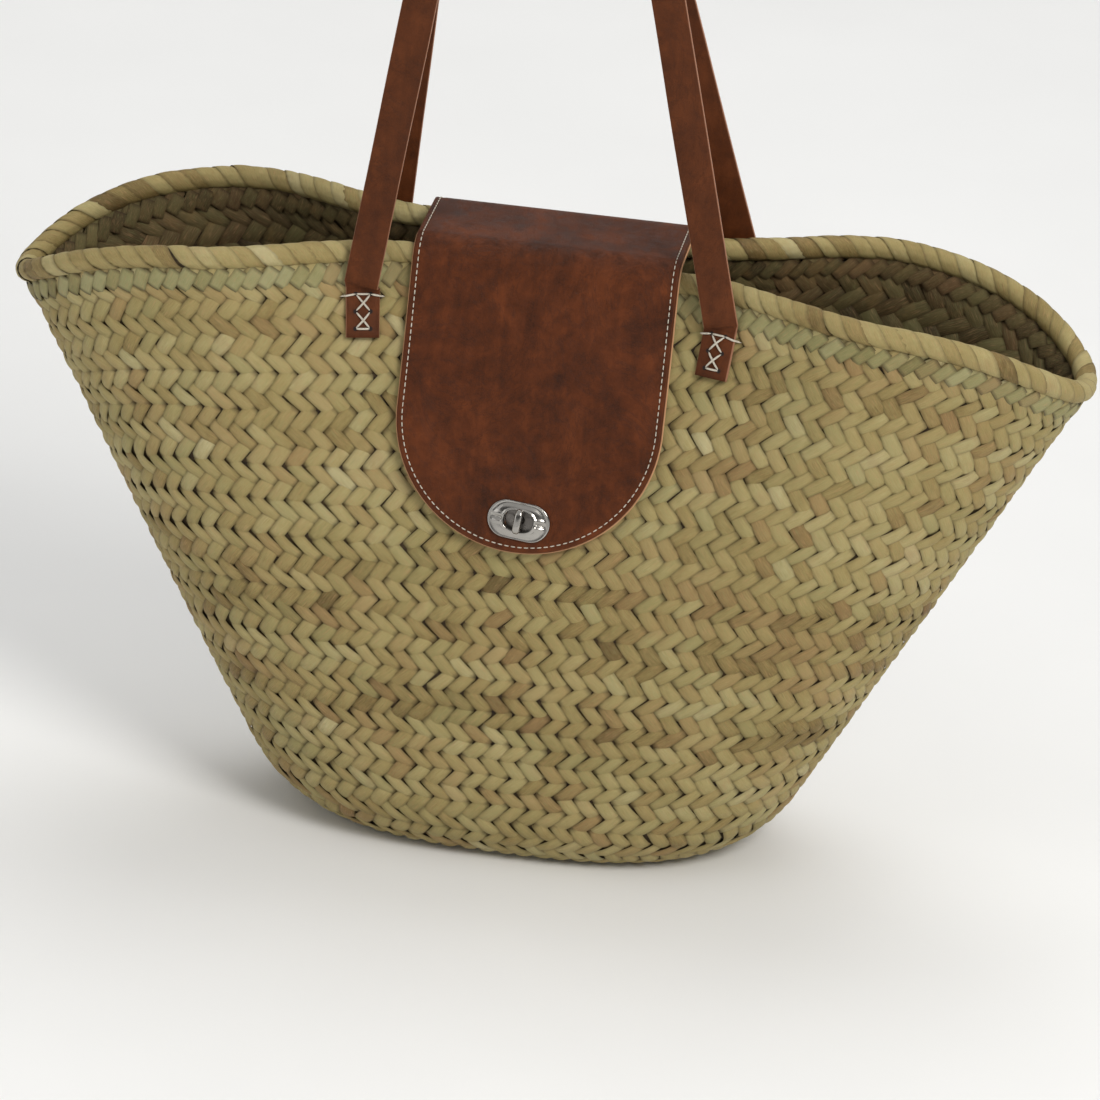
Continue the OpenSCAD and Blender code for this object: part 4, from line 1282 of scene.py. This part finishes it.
def lock_patch():
    """The leather patch under the lock's base plate, with a hole for the spindle."""
    top = BASE_TOP - SHEET_T - TOUCH
    low = top - PATCH_T
    outer = stadium(PATCH_L, PATCH_W, ANGLES)
    rings = []
    edge = ((-0.0004, low), (0, low + 0.0003), (0, top - 0.0005), (-0.0002, top - 0.0002), (-0.0006, top))
    for grow, z in edge:
        rings.append(lock_ring(outer + grow, z))
    for share in (0.75, 0.5, 0.25):
        rings.append(lock_ring(HOLE_R + (outer - 0.0042) * share, top))
    for z in (top, low):
        rings.append(lock_ring(HOLE_R, z))
    rings.append(rings[0])
    worn = np.zeros(len(rings) * len(ANGLES))
    worn[: 3 * len(ANGLES)] = 0.8
    obj = ring_mesh("lock_leather_patch", rings, flap_leather, {"edge": worn})
    recalc(obj)
    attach(obj, "basket")
    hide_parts("lock_patch")
    lines = []
    seam = np.linspace(0, 2 * np.pi, 2000)
    r = stadium(PATCH_L - 2 * PATCH_SEAM, PATCH_W - 2 * PATCH_SEAM, seam)
    line = np.stack([r * np.cos(seam), r * np.sin(seam)], -1)
    run = run_length(line)
    count = int(run[-1] / 0.0056)
    for k in range(count):
        q = np.linspace((k + 0.14) * run[-1] / count, (k + 0.86) * run[-1] / count, 9)
        x, y = np.interp(q, run, line[:, 0]), np.interp(q, run, line[:, 1])
        lines.append(lock_point(x, y, top + 0.0003 * np.sin(np.linspace(0, math.pi, 9)) - 0.0001))
    sewn = thread_piece("patch_stitches", lines, 0.00042)
    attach(sewn, "basket")
    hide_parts("patch_stitching")


lock_patch()

METAL_NODES = (
    "lock_base_plate", "lock_rivets", "lock_back_plate", "escutcheon_backing", "knob_retainer",
    "spring_washer",
)
for node in METAL_NODES:
    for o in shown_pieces():
        if o.get("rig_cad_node") == node:
            o.data.materials.clear()
            o.data.materials.append(steel)

# ---- Floor and light ----
def floor_material():
    m = Nodes("studio_floor")
    cloud = m.noise(m.place(), 3.0, 3.0)
    colour = m.ramp(cloud, [(0.2, linear(236, 236, 235)), (0.8, linear(242, 242, 241))])
    return m.finish(colour, 0.85, m.bump(m.noise(m.place(), 700, 2.0), 0.0001, 0.1))


floor = build(
    "floor",
    [(-9, -6, -0.0004), (9, -6, -0.0004), (9, 14, -0.0004), (-9, 14, -0.0004)],
    [[0, 1, 2, 3]],
    floor_material(),
)

world = bpy.data.worlds.new("studio")
bpy.context.scene.world = world
world.use_nodes = True
tree = world.node_tree
sky = tree.nodes["Background"]
way = tree.nodes.new("ShaderNodeTexCoord")
parts = tree.nodes.new("ShaderNodeSeparateXYZ")
band = tree.nodes.new("ShaderNodeValToRGB")
tree.links.new(way.outputs["Generated"], parts.inputs[0])
tree.links.new(parts.outputs["Z"], band.inputs["Fac"])
tree.links.new(band.outputs["Color"], sky.inputs["Color"])
for height, level in ((0.0, 1.35), (0.24, 1.2), (0.36, 0.08), (0.50, 0.08), (0.66, 1.0), (1.0, 1.0)):
    stop = band.color_ramp.elements.new(height)
    stop.color = (level, level, level * 0.99, 1)
band.color_ramp.elements.remove(band.color_ramp.elements[0])
band.color_ramp.elements.remove(band.color_ramp.elements[-1])
sky.inputs["Strength"].default_value = 0.60


def area_light(name, place, target, size, power, tint=(1, 1, 1)):
    light = bpy.data.lights.new(name, "AREA")
    light.shape = "RECTANGLE"
    light.size, light.size_y = size
    light.energy = power
    light.color = tint
    obj = bpy.data.objects.new(name, light)
    bpy.context.scene.collection.objects.link(obj)
    obj.location = place
    obj.rotation_euler = (Vector(target) - Vector(place)).to_track_quat("-Z", "Y").to_euler()


area_light("key", (2.0, -2.4, 2.9), (0, 0, 0.2), (1.4, 1.2), 92, (1.0, 0.985, 0.96))
area_light("fill", (-2.6, -2.0, 1.9), (0, 0, 0.2), (2.0, 1.6), 12)
area_light("top", (0.2, 1.4, 3.2), (0, 0.3, 0), (2.6, 2.0), 38)
